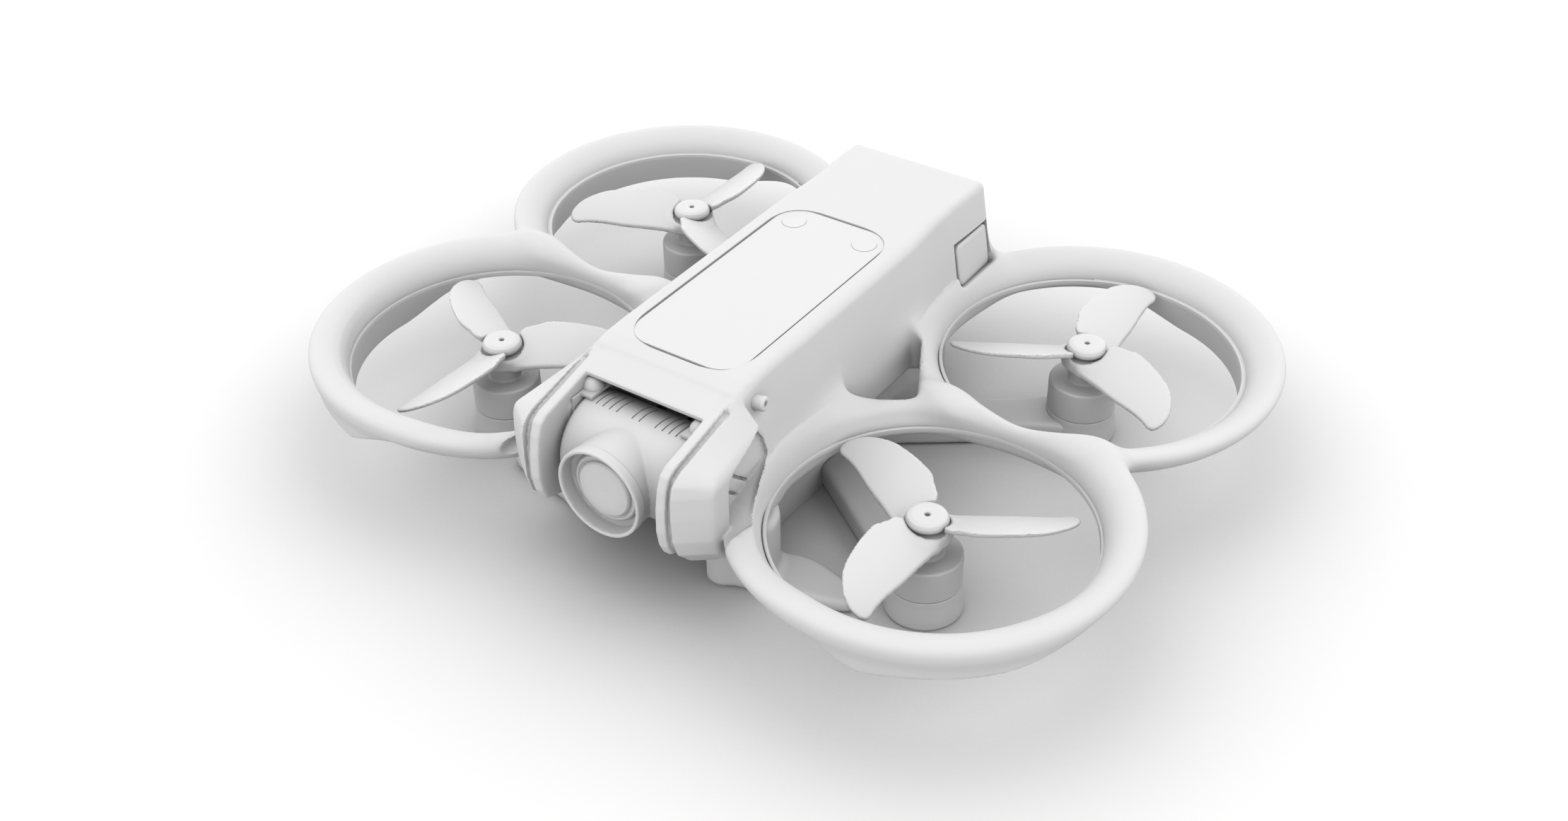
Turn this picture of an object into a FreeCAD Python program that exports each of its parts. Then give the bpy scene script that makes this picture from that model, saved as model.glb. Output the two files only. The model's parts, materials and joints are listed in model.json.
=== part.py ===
import FreeCAD, Part
import math
import os
import Sketcher

# Ducted racing drone. +Z up, nose towards -Y, origin on the ground below the middle of the frame.

SIZES = {
    # heights above the ground
    "lip_height": 25.3, "roof_rise": 31.0, "deck_drop": 4.0, "deck_depth": 2.0, "axle_rise": 8.5,
    # ducts and rims
    "front_duct_x": 70.4, "front_duct_y": 43.8, "rear_duct_x": 70.2, "rear_duct_y": 42.4,
    "lip_radius": 41.0, "rim_centre": 46.7, "rim_rise": 1.7, "rim_long": 6.5, "rim_short": 3.1,
    "rim_tilt": 38.0, "skirt_outer": 51.2, "skirt_inner": 43.0, "skirt_top": 7.6, "skirt_drop": 3.0,
    "skirt_sweep": 135.0, "wall_drop": 8.0, "wall_depth": 1.4, "wall_sweep": 115.0,
    # fuselage
    "tail_end": 66.0, "fuse_front": 58.0, "bay_wall_front": 52.0, "roof_half": 20.5, "side_half": 25.5,
    "corner_drop": 2.2, "shoulder_half": 22.4, "side_low": 15.0, "floor_half": 22.0, "wall_tilt": 9.7,
    "nose_roof_end": 66.0, "nose_roof_drop": 4.0, "nose_half": 18.1, "roof_depth": 2.2,
    # roof panel
    "panel_half": 17.2, "panel_front": 52.9, "panel_rear": 24.1, "panel_depth": 1.2, "panel_gap": 0.35,
    "panel_corner": 8.0, "disc_radius": 3.4, "disc_x": 11.5, "disc_y": 17.2,
    # bays
    "bay_half": 18.0, "bay_low": 3.6, "bay_high": 27.4, "board_bay_front": 47.0, "board_bay_half": 17.0,
    # belly, feet and arms
    "belly_half": 21.0, "belly_front": 48.0, "belly_rear": 52.0, "belly_wall": 1.6,
    "arm_width": 12.5, "arm_depth": 7.0, "arm_root_x": 21.1, "arm_root_y": 10.0,
    # motors
    "front_hub_x": 68.8, "rear_hub_x": 68.0, "hub_y": 44.0, "bell_radius": 9.6, "bell_top": 7.0,
    "bell_bottom": 16.3, "bell_wall": 1.0, "base_radius": 10.6, "base_top": 17.0, "shaft_radius": 1.5,
    "stator_radius": 8.2, "stator_height": 6.0, "fit_gap": 0.05,
    # propellers
    "prop_radius": 37.6, "prop_hub_radius": 6.5, "prop_hub_top": 1.3, "prop_hub_low": 2.2,
    "cap_radius": 5.2, "cap_top": 4.8, "cap_low": 1.9, "chord_max": 16.5,
    # camera
    "axle_front": 68.3, "drum_radius": 13.0, "drum_half": 17.0, "drum_wall": 1.4, "pivot_radius": 2.0,
    "barrel_radius": 12.2, "ring_radius": 12.6, "ring_bore": 11.55, "ring_front": 86.5, "ring_depth": 3.0,
    "glass_radius": 7.9, "slot_width": 0.7, "slot_length": 10.0,
    "plate_inner": 18.2, "plate_outer": 21.7, "guard_inner": 22.1, "guard_outer": 31.4,
    "peg_y": 51.6, "peg_rise": 25.0, "peg_root": 23.8, "ball_radius": 2.9, "ball_x": 15.2, "ball_y": 67.0, "ball_rise": 23.4,
    # battery and latches
    "cell_depth": 5.0, "case_half": 17.6, "case_front": 1.2, "case_end": 60.0, "case_low": 4.0,
    "case_high": 27.0, "case_wall": 1.0, "latch_y": 56.4, "latch_rise": 7.9, "latch_length": 16.8,
    "latch_tall": 13.0, "latch_depth": 4.2, "latch_gap": 0.6, "button_radius": 4.5,
}

doc = FreeCAD.newDocument("racing_drone")
sheet = doc.addObject("Spreadsheet::Sheet", "Sizes")
for row, (alias, value) in enumerate(SIZES.items(), start=1):
    sheet.set(f"A{row}", str(value))
    sheet.setAlias(f"A{row}", alias)
doc.recompute()

nodes = []
CORNERS = {"front_left": (-1, -1), "front_right": (1, -1), "rear_left": (-1, 1), "rear_right": (1, 1)}
SIDES = {"left": -1, "right": 1}
RIM_FACETS = 14
AXES = {"X": (FreeCAD.Vector(0, 1, 0), 90), "Y": (FreeCAD.Vector(1, 0, 0), -90), "Z": (FreeCAD.Vector(0, 0, 1), 0)}


def size(alias):
    return float(sheet.get(alias))


def named(expression):
    """Puts the sheet's name before each alias, so that short expressions can be written."""
    words = []
    for word in expression.replace("(", "( ").replace(")", " )").split():
        bare = word.lstrip("-")
        sign = "-" * (len(word) - len(bare))
        words.append(sign + ("Sizes." + bare if bare in SIZES else bare))
    return " ".join(words)


def bind(thing, prop, expression):
    thing.setExpression(prop, named(str(expression)))


def place(thing, x=0, y=0, z=0):
    for axis, expression in (("x", x), ("y", y), ("z", z)):
        bind(thing, f"Placement.Base.{axis}", expression)


def turn(thing, axis, degrees):
    thing.Placement = FreeCAD.Placement(thing.Placement.Base, FreeCAD.Rotation(FreeCAD.Vector(*axis), degrees))


def node(thing, name):
    thing.Label = name
    nodes.append(thing)
    return thing


# ---- Part primitives with bound sizes ----

def box(name, sizes, corner):
    made = doc.addObject("Part::Box", name)
    for prop, expression in zip(("Length", "Width", "Height"), sizes):
        bind(made, prop, expression)
    place(made, *corner)
    return made


def cylinder(name, radius, height, base, axis="Z"):
    made = doc.addObject("Part::Cylinder", name)
    bind(made, "Radius", radius)
    bind(made, "Height", height)
    made.Placement = FreeCAD.Placement(FreeCAD.Vector(), FreeCAD.Rotation(*AXES[axis]))
    place(made, *base)
    return made


def fuse(name, *pieces):
    made = doc.addObject("Part::MultiFuse", name)
    made.Shapes = list(pieces)
    return made


def cut(name, base, *tools):
    made = doc.addObject("Part::Cut", name)
    made.Base = base
    made.Tool = tools[0] if len(tools) == 1 else fuse(name + "_tools", *tools)
    return made


def common(name, first, second):
    made = doc.addObject("Part::Common", name)
    made.Base = first
    made.Tool = second
    return made


def group(name, pieces):
    """Separate solids that share one node."""
    made = doc.addObject("Part::Compound", name)
    made.Links = list(pieces)
    return node(made, name)


def mirrored(name, source):
    made = doc.addObject("Part::Mirroring", name)
    made.Source = source
    made.Normal = (1, 0, 0)
    return made


# ---- PartDesign helpers ----

def new_body(name):
    return doc.addObject("PartDesign::Body", name)


def new_sketch(body, role, offset=0):
    sketch = body.newObject("Sketcher::SketchObject", body.Name + "_sketch")
    support = next(f for f in body.Origin.OriginFeatures if f.Role == role)
    sketch.AttachmentSupport = (support, "")
    sketch.MapMode = "FlatFace"
    bind(sketch, "AttachmentOffset.Base.z", offset)
    return sketch


def fix_point(sketch, geo, pos, x, y):
    """Ties one sketch point to the origin at the two given coordinates."""
    now = sketch.getPoint(geo, pos)
    for kind, expression, axis, start in (("DistanceX", x, -2, now.x), ("DistanceY", y, -1, now.y)):
        if str(expression) == "0":
            sketch.addConstraint(Sketcher.Constraint("PointOnObject", geo, pos, axis))
            continue
        index = sketch.addConstraint(Sketcher.Constraint(kind, -1, 1, geo, pos, start))
        bind(sketch, f"Constraints[{index}]", expression)


def outline(sketch, points):
    """A closed polygon with a bound coordinate pair at each corner."""
    count = len(points)
    first = sketch.GeometryCount
    start = [FreeCAD.Vector(math.cos(2 * math.pi * i / count), math.sin(2 * math.pi * i / count), 0)
             for i in range(count)]
    for i in range(count):
        sketch.addGeometry(Part.LineSegment(start[i], start[(i + 1) % count]))
    for i in range(count):
        sketch.addConstraint(Sketcher.Constraint("Coincident", first + i, 2, first + (i + 1) % count, 1))
    for i, (x, y) in enumerate(points):
        fix_point(sketch, first + i, 1, x, y)


def circle(sketch, radius, x=0, y=0):
    geo = sketch.addGeometry(Part.Circle(FreeCAD.Vector(), FreeCAD.Vector(0, 0, 1), 1))
    index = sketch.addConstraint(Sketcher.Constraint("Radius", geo, 1.0))
    bind(sketch, f"Constraints[{index}]", radius)
    fix_point(sketch, geo, 3, x, y)


def pad(body, sketch, length, symmetric=False):
    feature = body.newObject("PartDesign::Pad", body.Name + "_pad")
    feature.Profile = sketch
    bind(feature, "Length", length)
    feature.SideType = "Symmetric" if symmetric else "One side"
    return feature


def spin(body, sketch, axis="V_Axis", angle=360):
    feature = body.newObject("PartDesign::Revolution", body.Name + "_turned")
    feature.Profile = sketch
    feature.ReferenceAxis = (sketch, [axis])
    bind(feature, "Angle", angle)
    return feature


def round_edges(body, feature, radius, wanted):
    """Rounds the edges of a feature that the test picks."""
    doc.recompute()
    names = [f"Edge{i}" for i, edge in enumerate(feature.Shape.Edges, start=1) if wanted(edge)]
    made = body.newObject("PartDesign::Fillet", body.Name + "_fillet")
    made.Base = (feature, names)
    bind(made, "Radius", radius)
    return made


def upright(edge):
    return len(edge.Vertexes) == 2 and abs((edge.Vertexes[0].Point - edge.Vertexes[1].Point).normalize().z) > 0.99


def turned(name, points, base, axis="Z"):
    """A body of revolution about its own Z axis: each point is (radius, height)."""
    body = new_body(name)
    sketch = new_sketch(body, "XZ_Plane")
    outline(sketch, points)
    spin(body, sketch)
    body.Placement = FreeCAD.Placement(FreeCAD.Vector(), FreeCAD.Rotation(*AXES[axis]))
    place(body, *base)
    return body


def plate(name, role, points, depth, offset=0, symmetric=False):
    body = new_body(name)
    sketch = new_sketch(body, role, offset)
    outline(sketch, points)
    pad(body, sketch, depth, symmetric)
    return body


def corner_place(thing, corner, z, hub=True):
    """Puts a piece at a corner's hub, or at its duct's centre."""
    across, along = CORNERS[corner]
    end = "front" if along < 0 else "rear"
    x = f"{end}_hub_x" if hub else f"{end}_duct_x"
    y = "hub_y" if hub else f"{end}_duct_y"
    place(thing, f"{x} * {across}", f"{y} * {along}", z)


# ---- airframe: rims, skirts, fuselage, nose roof ----

def rim(corner):
    """Bell-mouth rim: a tilted oval of straight facets turned about the duct's axis."""
    points = []
    for i in range(RIM_FACETS):
        along = f"rim_long * cos( {360 * i / RIM_FACETS}deg )"
        across = f"rim_short * sin( {360 * i / RIM_FACETS}deg )"
        points.append((f"rim_centre + {along} * cos( rim_tilt * 1deg ) - {across} * sin( rim_tilt * 1deg )",
                       f"rim_rise + {along} * sin( rim_tilt * 1deg ) + {across} * cos( rim_tilt * 1deg )"))
    body = turned("rim_" + corner, points, (0, 0, 0))
    corner_place(body, corner, "lip_height", hub=False)
    return body


def swept_wall(name, corner, points, sweep, start):
    """A wall turned part of the way round a duct, from the start angle seen on the right side."""
    body = new_body(name + "_" + corner)
    sketch = new_sketch(body, "XZ_Plane")
    outline(sketch, points)
    spin(body, sketch, angle=sweep)
    across = CORNERS[corner][0]
    sweep_value = size(sweep)
    first = start if across > 0 else 180 - start - sweep_value
    turn(body, (0, 0, 1), first)
    corner_place(body, corner, "lip_height", hub=False)
    return body


SKIRT = [("skirt_inner", "-skirt_drop"), ("skirt_outer - 1.6", "-skirt_drop"), ("skirt_outer", "0"),
         ("skirt_outer", "skirt_top"), ("skirt_outer - 3", "skirt_top + 1.6"), ("skirt_inner + 2", "rim_rise + 2")]
INNER_WALL = [("lip_radius", "-wall_drop"), ("lip_radius + wall_depth", "-wall_drop"),
              ("lip_radius + wall_depth", "1"), ("lip_radius", "1")]


def throat(corner):
    """The air passage that every other part of the frame stays out of."""
    points = [("0", "-20"), ("lip_radius", "-20"), ("lip_radius", "0.6"), ("lip_radius + 1.4", "4"),
              ("lip_radius + 3.6", "8"), ("lip_radius + 5", "12"), ("0", "12")]
    body = new_body("throat_" + corner)
    sketch = new_sketch(body, "XZ_Plane")
    outline(sketch, points)
    spin(body, sketch)
    corner_place(body, corner, "lip_height", hub=False)
    return body


ROOF_FALL = math.degrees(math.atan2(SIZES["nose_roof_drop"], SIZES["nose_roof_end"] - SIZES["panel_front"]))


def fuselage():
    section = [("-roof_half", "roof_rise"), ("roof_half", "roof_rise"), ("shoulder_half", "roof_rise - corner_drop"),
               ("side_half", "side_low"), ("side_half", "-1"), ("floor_half", "-deck_drop"),
               ("-floor_half", "-deck_drop"), ("-side_half", "-1"), ("-side_half", "side_low"),
               ("-shoulder_half", "roof_rise - corner_drop")]
    body = plate("fuselage", "XZ_Plane", section, "tail_end + fuse_front", "-tail_end")
    place(body, 0, 0, "lip_height")
    slope = box("roof_slope", (60, 20, 10), (0, 0, 0))
    fall = math.radians(ROOF_FALL)
    turn(slope, (1, 0, 0), ROOF_FALL)
    place(slope, -30, f"-panel_front - {20 * math.cos(fall)}", f"lip_height + roof_rise - {20 * math.sin(fall)}")
    return cut("fuselage_sloped", body, slope)


def nose_roof():
    side = [("-50", "roof_rise"), ("-panel_front", "roof_rise"), ("-nose_roof_end", "roof_rise - nose_roof_drop"),
            ("-nose_roof_end", "roof_rise - nose_roof_drop - roof_depth"), ("-53", "roof_rise - roof_depth - 0.6"),
            ("-50", "roof_rise - roof_depth - 0.6")]
    body = plate("nose_roof", "YZ_Plane", side, "2 * nose_half", symmetric=True)
    place(body, 0, 0, "lip_height")
    return body


def rounded_slab(name, half, front, rear, base, depth, corner):
    body = plate(name, "XY_Plane", [(f"-( {half} )", f"-( {front} )"), (half, f"-( {front} )"), (half, rear),
                                    (f"-( {half} )", rear)], depth, base)
    round_edges(body, body.Tip, corner, upright)
    return body


def latch_box(name, side, grow, depth, out):
    """A block square to the sloping side wall, centred on the latch."""
    across = SIDES[side]
    made = box(name + "_" + side, (depth, f"latch_length + 2 * {grow}", f"latch_tall + 2 * {grow}"), (0, 0, 0))
    tilt = size("wall_tilt")
    made.Placement = FreeCAD.Placement(FreeCAD.Vector(), FreeCAD.Rotation(FreeCAD.Vector(0, 1, 0), -across * tilt))
    shift = f"( {out} )" if across > 0 else f"( -( {out} ) - ( {depth} ) )"
    low = f"( -latch_tall / 2 - {grow} )"
    cosine = "cos( wall_tilt * 1deg )"
    sine = "sin( wall_tilt * 1deg )"
    place(made, f"{shift} * {cosine} - {across} * {low} * {sine}", f"latch_y - latch_length / 2 - {grow}",
          f"lip_height + latch_rise + {low} * {cosine} + {across} * {shift} * {sine}")
    return made


LATCH_BACK = "20.9"
POCKET_BACK = "19.4"


def airframe():
    rims = [rim(corner) for corner in CORNERS]
    skirts = [swept_wall("skirt", corner, SKIRT, "skirt_sweep", -120) for corner in ("front_left", "front_right")]
    walls = [swept_wall("wall", corner, INNER_WALL, "wall_sweep", -95 if "front" in corner else -20)
             for corner in CORNERS]
    solid = fuse("airframe_solid", fuselage(), nose_roof(), *rims, *skirts)
    panel_bay = rounded_slab("panel_bay", "panel_half + panel_gap", "panel_front + panel_gap",
                             "panel_rear + panel_gap", "lip_height + roof_rise - panel_depth",
                             "panel_depth + 1", "panel_corner + panel_gap")
    battery_bay = box("battery_bay", ("2 * bay_half", "tail_end + 2", "bay_high - bay_low"),
                      ("-bay_half", 0, "lip_height + bay_low"))
    board_bay = box("board_bay", ("2 * board_bay_half", "board_bay_front - 2", "roof_rise + deck_drop"),
                    ("-board_bay_half", "-board_bay_front", "lip_height - deck_drop + deck_depth"))
    ribbon_slot = box("ribbon_slot", (10, 8, 2), (-5, "-bay_wall_front - 1", "lip_height + 12"))
    socket_slot = box("socket_slot", (16, 4, 8), (-8, -3, "lip_height + 12"))
    pockets = [latch_box("latch_pocket", side, "latch_gap", "12", POCKET_BACK) for side in SIDES]
    seats = [cylinder("ball_seat" + side, "ball_radius + 0.15", 6.6, (f"{sign} * ball_x", "-ball_y", "lip_height + 20"))
             for side, sign in SIDES.items()]
    spring_holes = [spring_hole(side) for side in SIDES]
    screw_holes = [cylinder(f"screw_hole_{x}_{y}", 1.05, 4, (x, y, "lip_height - deck_drop - 1"))
                   for x, y in SCREW_SPOTS]
    nose_space = box("nose_space", ("2 * plate_outer + 0.4", 28, 36),
                     ("-plate_outer - 0.2", "-bay_wall_front - 28.02", "lip_height - 12"))
    plate_spaces = [box("plate_space_" + side, ("plate_outer - plate_inner + 0.4", 28, 60),
                        ("plate_inner - 0.2" if sign > 0 else "-plate_outer - 0.2", "-bay_wall_front - 28.02",
                         "lip_height - 12")) for side, sign in SIDES.items()]
    throats = [throat(corner) for corner in CORNERS]
    bays = [nose_space, panel_bay, battery_bay, board_bay, ribbon_slot, socket_slot]
    opened = cut("airframe_open", solid, *bays, *plate_spaces, *throats, *pockets, *seats, *spring_holes,
                 *screw_holes)
    return node(fuse("airframe_fused", opened, *walls), "airframe_shell")


SCREW_SPOTS = [(x, y) for x in (-14, 14) for y in (-40, 5, 44)]


def spring_hole(side):
    """Blind hole behind a latch button that holds its spring."""
    sign = SIDES[side]
    base_x = "18.5" if sign > 0 else "-21.5"
    return cylinder("spring_hole_" + side, 2.0, 3, (base_x, "latch_y", "lip_height + latch_rise"), "X")


# ---- roof panel ----

def roof_panel():
    panel = rounded_slab("panel", "panel_half", "panel_front", "panel_rear",
                         "lip_height + roof_rise - panel_depth", "panel_depth", "panel_corner")
    spots = [(f"{sign} * disc_x", "disc_y") for sign in SIDES.values()]
    base = "lip_height + roof_rise - panel_depth"
    holes = [cylinder(f"disc_hole_{i}", "disc_radius + fit_gap", 4, (x, y, base + " - 1"))
             for i, (x, y) in enumerate(spots)]
    node(cut("panel_cut", panel, *holes), "top_panel")
    group("panel_discs", [cylinder(f"disc_{i}", "disc_radius", "panel_depth + 0.1", (x, y, base))
                          for i, (x, y) in enumerate(spots)])


# ---- nose ----

PLATE_SIDE = [(-52.1, 28.0), (-61, 28.2), (-65.7, 27), (-72, 25.4), (-78, 24), (-82.4, 23), (-84.6, 21.5),
              (-86, 18), (-87, 12.5), (-87.3, 6), (-86.5, 1.2), (-85, -1.9), (-79, -3.9), (-52.1, -3.9)]
GUARD_SIDE = [(-58.2, 29.2), (-61, 28.4), (-66, 27.5), (-80, 24), (-84.5, 23.2), (-86.8, 20.5), (-87.7, 17.5),
              (-88, 11), (-87.6, 4), (-86, -1), (-81, -6.2), (-75, -5.5), (-73.9, 0), (-73.7, 15),
              (-70.6, 18), (-65.5, 18.8), (-58.2, 19.6)]
NOSE_FACE_TURN = 38
# how far each top face leans: first back along the drone, then outwards
GUARD_TOP_FACES = {"fore": (13, 23, 20.6), "aft": (-3.5, 44.4, 30.6)}


def nose_plates():
    width = "plate_outer - plate_inner"
    right = plate("nose_plate_r", "YZ_Plane", PLATE_SIDE, width, "plate_inner")
    place(right, 0, 0, "lip_height")
    window = box("plate_window", (6, 14, 12), (17, -66, "lip_height + 2"))
    pivot = cylinder("plate_pivot", 4, 3, (17, "-axle_front", "lip_height + axle_rise"), "X")
    made = cut("nose_plate_cut", right, window, pivot)
    node(made, "nose_plate_right")
    node(mirrored("nose_plate_mirror", made), "nose_plate_left")


def cheek_guards():
    right = plate("guard_r", "YZ_Plane", GUARD_SIDE, "guard_outer - guard_inner", "guard_inner")
    place(right, 0, 0, "lip_height")
    front_cut = box("guard_front_cut", (30, 30, 60), (0, 0, 0))
    turn(front_cut, (0, 0, 1), NOSE_FACE_TURN)
    place(front_cut, f"guard_inner + 30 * sin( {NOSE_FACE_TURN}deg )", f"-88.3 - 30 * cos( {NOSE_FACE_TURN}deg )",
          "lip_height - 20")
    duct_space = cylinder("guard_duct_space", "rim_centre + 5.9", 32, (0, 0, 0))
    corner_place(duct_space, "front_right", "lip_height - 20", hub=False)
    top_cuts = []
    for face, (back_lean, side_lean, rise) in GUARD_TOP_FACES.items():
        top_cut = box("guard_cut_" + face, (20, 60, 20), (0, 0, 0))
        lean = FreeCAD.Rotation(FreeCAD.Vector(1, 0, 0), back_lean)
        lean = lean.multiply(FreeCAD.Rotation(FreeCAD.Vector(0, 1, 0), side_lean))
        top_cut.Placement = FreeCAD.Placement(FreeCAD.Vector(), lean)
        place(top_cut, "guard_inner", -96, f"lip_height + {rise}")
        top_cuts.append(top_cut)
    made = cut("guard_cut", right, front_cut, *top_cuts, duct_space)
    node(made, "cheek_guard_right")
    node(mirrored("guard_mirror", made), "cheek_guard_left")


def side_peg():
    """A short hollow peg that sticks out of the right side wall just behind its cheek guard."""
    peg = turned("peg", [("0", "0"), ("1.5", "0"), ("1.5", "0.6"), ("2", "0.6"), ("2", "2.3"), ("1.6", "2.8"),
                         ("0.7", "2.8"), ("0.7", "1.8"), ("0", "1.8")], (0, 0, 0))
    turn(peg, (0, 1, 0), 90)
    place(peg, "peg_root", "-peg_y", "lip_height + peg_rise")
    node(peg, "side_peg")


# ---- camera ----

def on_axle(points, name, axis="Z"):
    return turned(name, points, (0, "-axle_front", "lip_height + axle_rise"), axis)


VENT_SPOTS = (-12.4, -10.3, -8.2, -6.0, -1.1, 1.1, 6.0, 8.2, 10.3, 12.4)


def camera():
    half = "drum_half"
    outer = [("0", "-drum_half"), ("drum_radius - 1.2", f"-{half}"), ("drum_radius", f"-{half} + 1.2"),
             ("drum_radius", f"{half} - 1.2"), ("drum_radius - 1.2", half), ("0", half)]
    inner = [("0", "-drum_half + drum_wall"), ("drum_radius - drum_wall", "-drum_half + drum_wall"),
             ("drum_radius - drum_wall", "drum_half - drum_wall"), ("0", "drum_half - drum_wall")]
    solid = on_axle(outer, "drum_outer", "X")
    hollow = on_axle(inner, "drum_inner", "X")
    stubs = [cylinder(f"pivot_{side}", "pivot_radius", 1.6,
                      ("drum_half - 0.6" if sign > 0 else "-drum_half - 1", "-axle_front", "lip_height + axle_rise"), "X")
             for side, sign in SIDES.items()]
    slots = [box(f"vent_{i}", ("slot_width", "slot_length", 8),
                 (f"{x} - slot_width / 2", "-axle_front - 3", "lip_height + axle_rise + 8"))
             for i, x in enumerate(VENT_SPOTS)]
    lens_hole = cylinder("lens_hole", 6, 10, (0, "-axle_front - 8", "lip_height + axle_rise"), "Y")
    turn(lens_hole, (1, 0, 0), 90)
    shell = cut("drum_shell", fuse("drum_solid", solid, *stubs), hollow, lens_hole, *slots)
    node(shell, "camera_drum")
    lens()


def facing(name, points):
    """A turned piece of the lens: each point is (radius, distance in front of the tilt axle)."""
    body = turned(name, points, (0, 0, 0))
    turn(body, (1, 0, 0), 90)
    place(body, 0, "-axle_front", "lip_height + axle_rise")
    return body


def lens():
    front = "ring_front - axle_front"
    tube = facing("barrel_tube", [("6", "4"), ("barrel_radius", "4"), ("barrel_radius", f"{front} - ring_depth"),
                                  ("7", f"{front} - ring_depth"), ("6", f"{front} - ring_depth - 1")])
    drum_space = cylinder("drum_space", "drum_radius + 0.02", 60, (-30, "-axle_front", "lip_height + axle_rise"), "X")
    hollow = facing("barrel_hollow", [("0", "0"), ("barrel_radius - 1.4", "0"),
                                      ("barrel_radius - 1.4", f"{front} - ring_depth - 2"), ("0", f"{front} - ring_depth - 2")])
    node(cut("barrel_cut", tube, drum_space, hollow), "lens_barrel")
    node(facing("ring", [("ring_bore", f"{front} - ring_depth"), ("ring_radius", f"{front} - ring_depth"),
                         ("ring_radius", f"{front} - 0.5"), ("ring_radius - 0.4", front),
                         ("ring_bore + 0.3", front), ("ring_bore", f"{front} - 0.3")]), "lens_ring")
    node(facing("glass", [("0", f"{front} - ring_depth + 0.02"), ("glass_radius", f"{front} - ring_depth + 0.02"),
                          ("glass_radius", f"{front} - 1.6"), ("glass_radius - 0.9", f"{front} - 0.8"),
                          ("0", f"{front} - 0.8")]), "lens_glass")
    node(facing("elements", [("0", "-2"), ("5.5", "-2"), ("5.5", f"{front} - ring_depth - 1.2"),
                             ("0", f"{front} - ring_depth - 1.2")]), "lens_elements")


def camera_bracket():
    arms = []
    for side, sign in SIDES.items():
        x = "drum_half + 0.2" if sign > 0 else "-drum_half - 0.95"
        arm = box("cradle_arm_" + side, (0.75, 19, 20), (x, -73, "lip_height + 2.5"))
        tab = box("cradle_tab_" + side, (4.15, 12, 0.8),
                  ("drum_half - 3.2" if sign > 0 else "-drum_half - 0.95", "-ball_y - 3", "lip_height + 21.75"))
        arms += [arm, tab]
    back = box("cradle_back", ("2 * drum_half + 1.9", 1.2, 20), ("-drum_half - 0.95", -54.4, "lip_height + 2.5"))
    holes = [cylinder("cradle_hole_" + side, "pivot_radius + fit_gap", 3,
                      (16.5 if sign > 0 else -19.5, "-axle_front", "lip_height + axle_rise"), "X")
             for side, sign in SIDES.items()]
    gap = box("cradle_gap", (12, 4, 4), (-6, -56, "lip_height + 11"))
    node(cut("cradle_cut", fuse("cradle_solid", back, *arms), *holes, gap), "camera_bracket")
    balls = []
    for side, sign in SIDES.items():
        ball = doc.addObject("Part::Sphere", "ball_" + side)
        bind(ball, "Radius", "ball_radius")
        place(ball, f"{sign} * ball_x", "-ball_y", "lip_height + ball_rise")
        under = box("ball_under_" + side, (10, 10, 4), (f"{sign} * ball_x - 5", "-ball_y - 5", "lip_height + 18.56"))
        balls.append(cut("ball_cut_" + side, ball, under))
    group("damper_balls", balls)


# ---- belly, feet, arms ----

def belly():
    shell = rounded_slab("belly_solid", "belly_half", "belly_front", "belly_rear", "0", "lip_height - deck_drop", "4")
    hollow = rounded_slab("belly_hollow", "belly_half - belly_wall", "belly_front - belly_wall",
                          "belly_rear - belly_wall", "belly_wall", "lip_height", "3")
    posts = [cylinder(f"post_{x}_{y}", 3, "lip_height - deck_drop", (x, y, 0)) for x, y in SCREW_SPOTS]
    holes = [cylinder(f"post_hole_{x}_{y}", 1.1, 60, (x, y, -1)) for x, y in SCREW_SPOTS]
    counterbores = [cylinder(f"counterbore_{x}_{y}", 2.1, 2.6, (x, y, -1)) for x, y in SCREW_SPOTS]
    eyes = [cylinder(f"eye_hole_{i}", 3.05, 6, (x, 20, -1)) for i, x in enumerate((-8, 8))]
    tray = cut("belly_tray", shell, hollow)
    node(cut("belly_cut", fuse("belly_posts", tray, *posts), *holes, *counterbores, *eyes), "belly_shell")
    pieces = []
    for x, y in SCREW_SPOTS:
        screw = turned(f"frame_screw_{x}_{y}", [("0", "0.2"), ("2", "0.2"), ("2", "1.5"), ("1", "1.5"),
                                                ("1", "lip_height - deck_drop + 1.8"),
                                                ("0", "lip_height - deck_drop + 1.8")], (x, y, 0))
        pieces.append(screw)
    group("frame_screws", pieces)
    group("sensor_windows", [cylinder(f"eye_{i}", 3, 1.5, (x, 20, 0.1)) for i, x in enumerate((-8, 8))])


def feet():
    """Front feet: a block under each cheek guard, with a low toe reaching out under the duct."""
    block = plate("foot_block", "XY_Plane", [(17.3, -66.5), (20, -68), (24, -67.4), (33, -62.5), (32, -52),
                                             (21.3, -48.2), (17.3, -48.2)], 21, 0)
    toe = plate("foot_toe", "XY_Plane", [(26, -65.3), (33, -62.9), (44, -61.2), (52, -59), (56, -56), (56, -53),
                                         (52, -51.3), (45, -49), (38, -47.6), (32, -48.2), (26, -50)], 4, 0)
    foot = fuse("foot_r", block, toe)
    group("front_feet", [foot, mirrored("foot_mirror", foot)])


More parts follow.
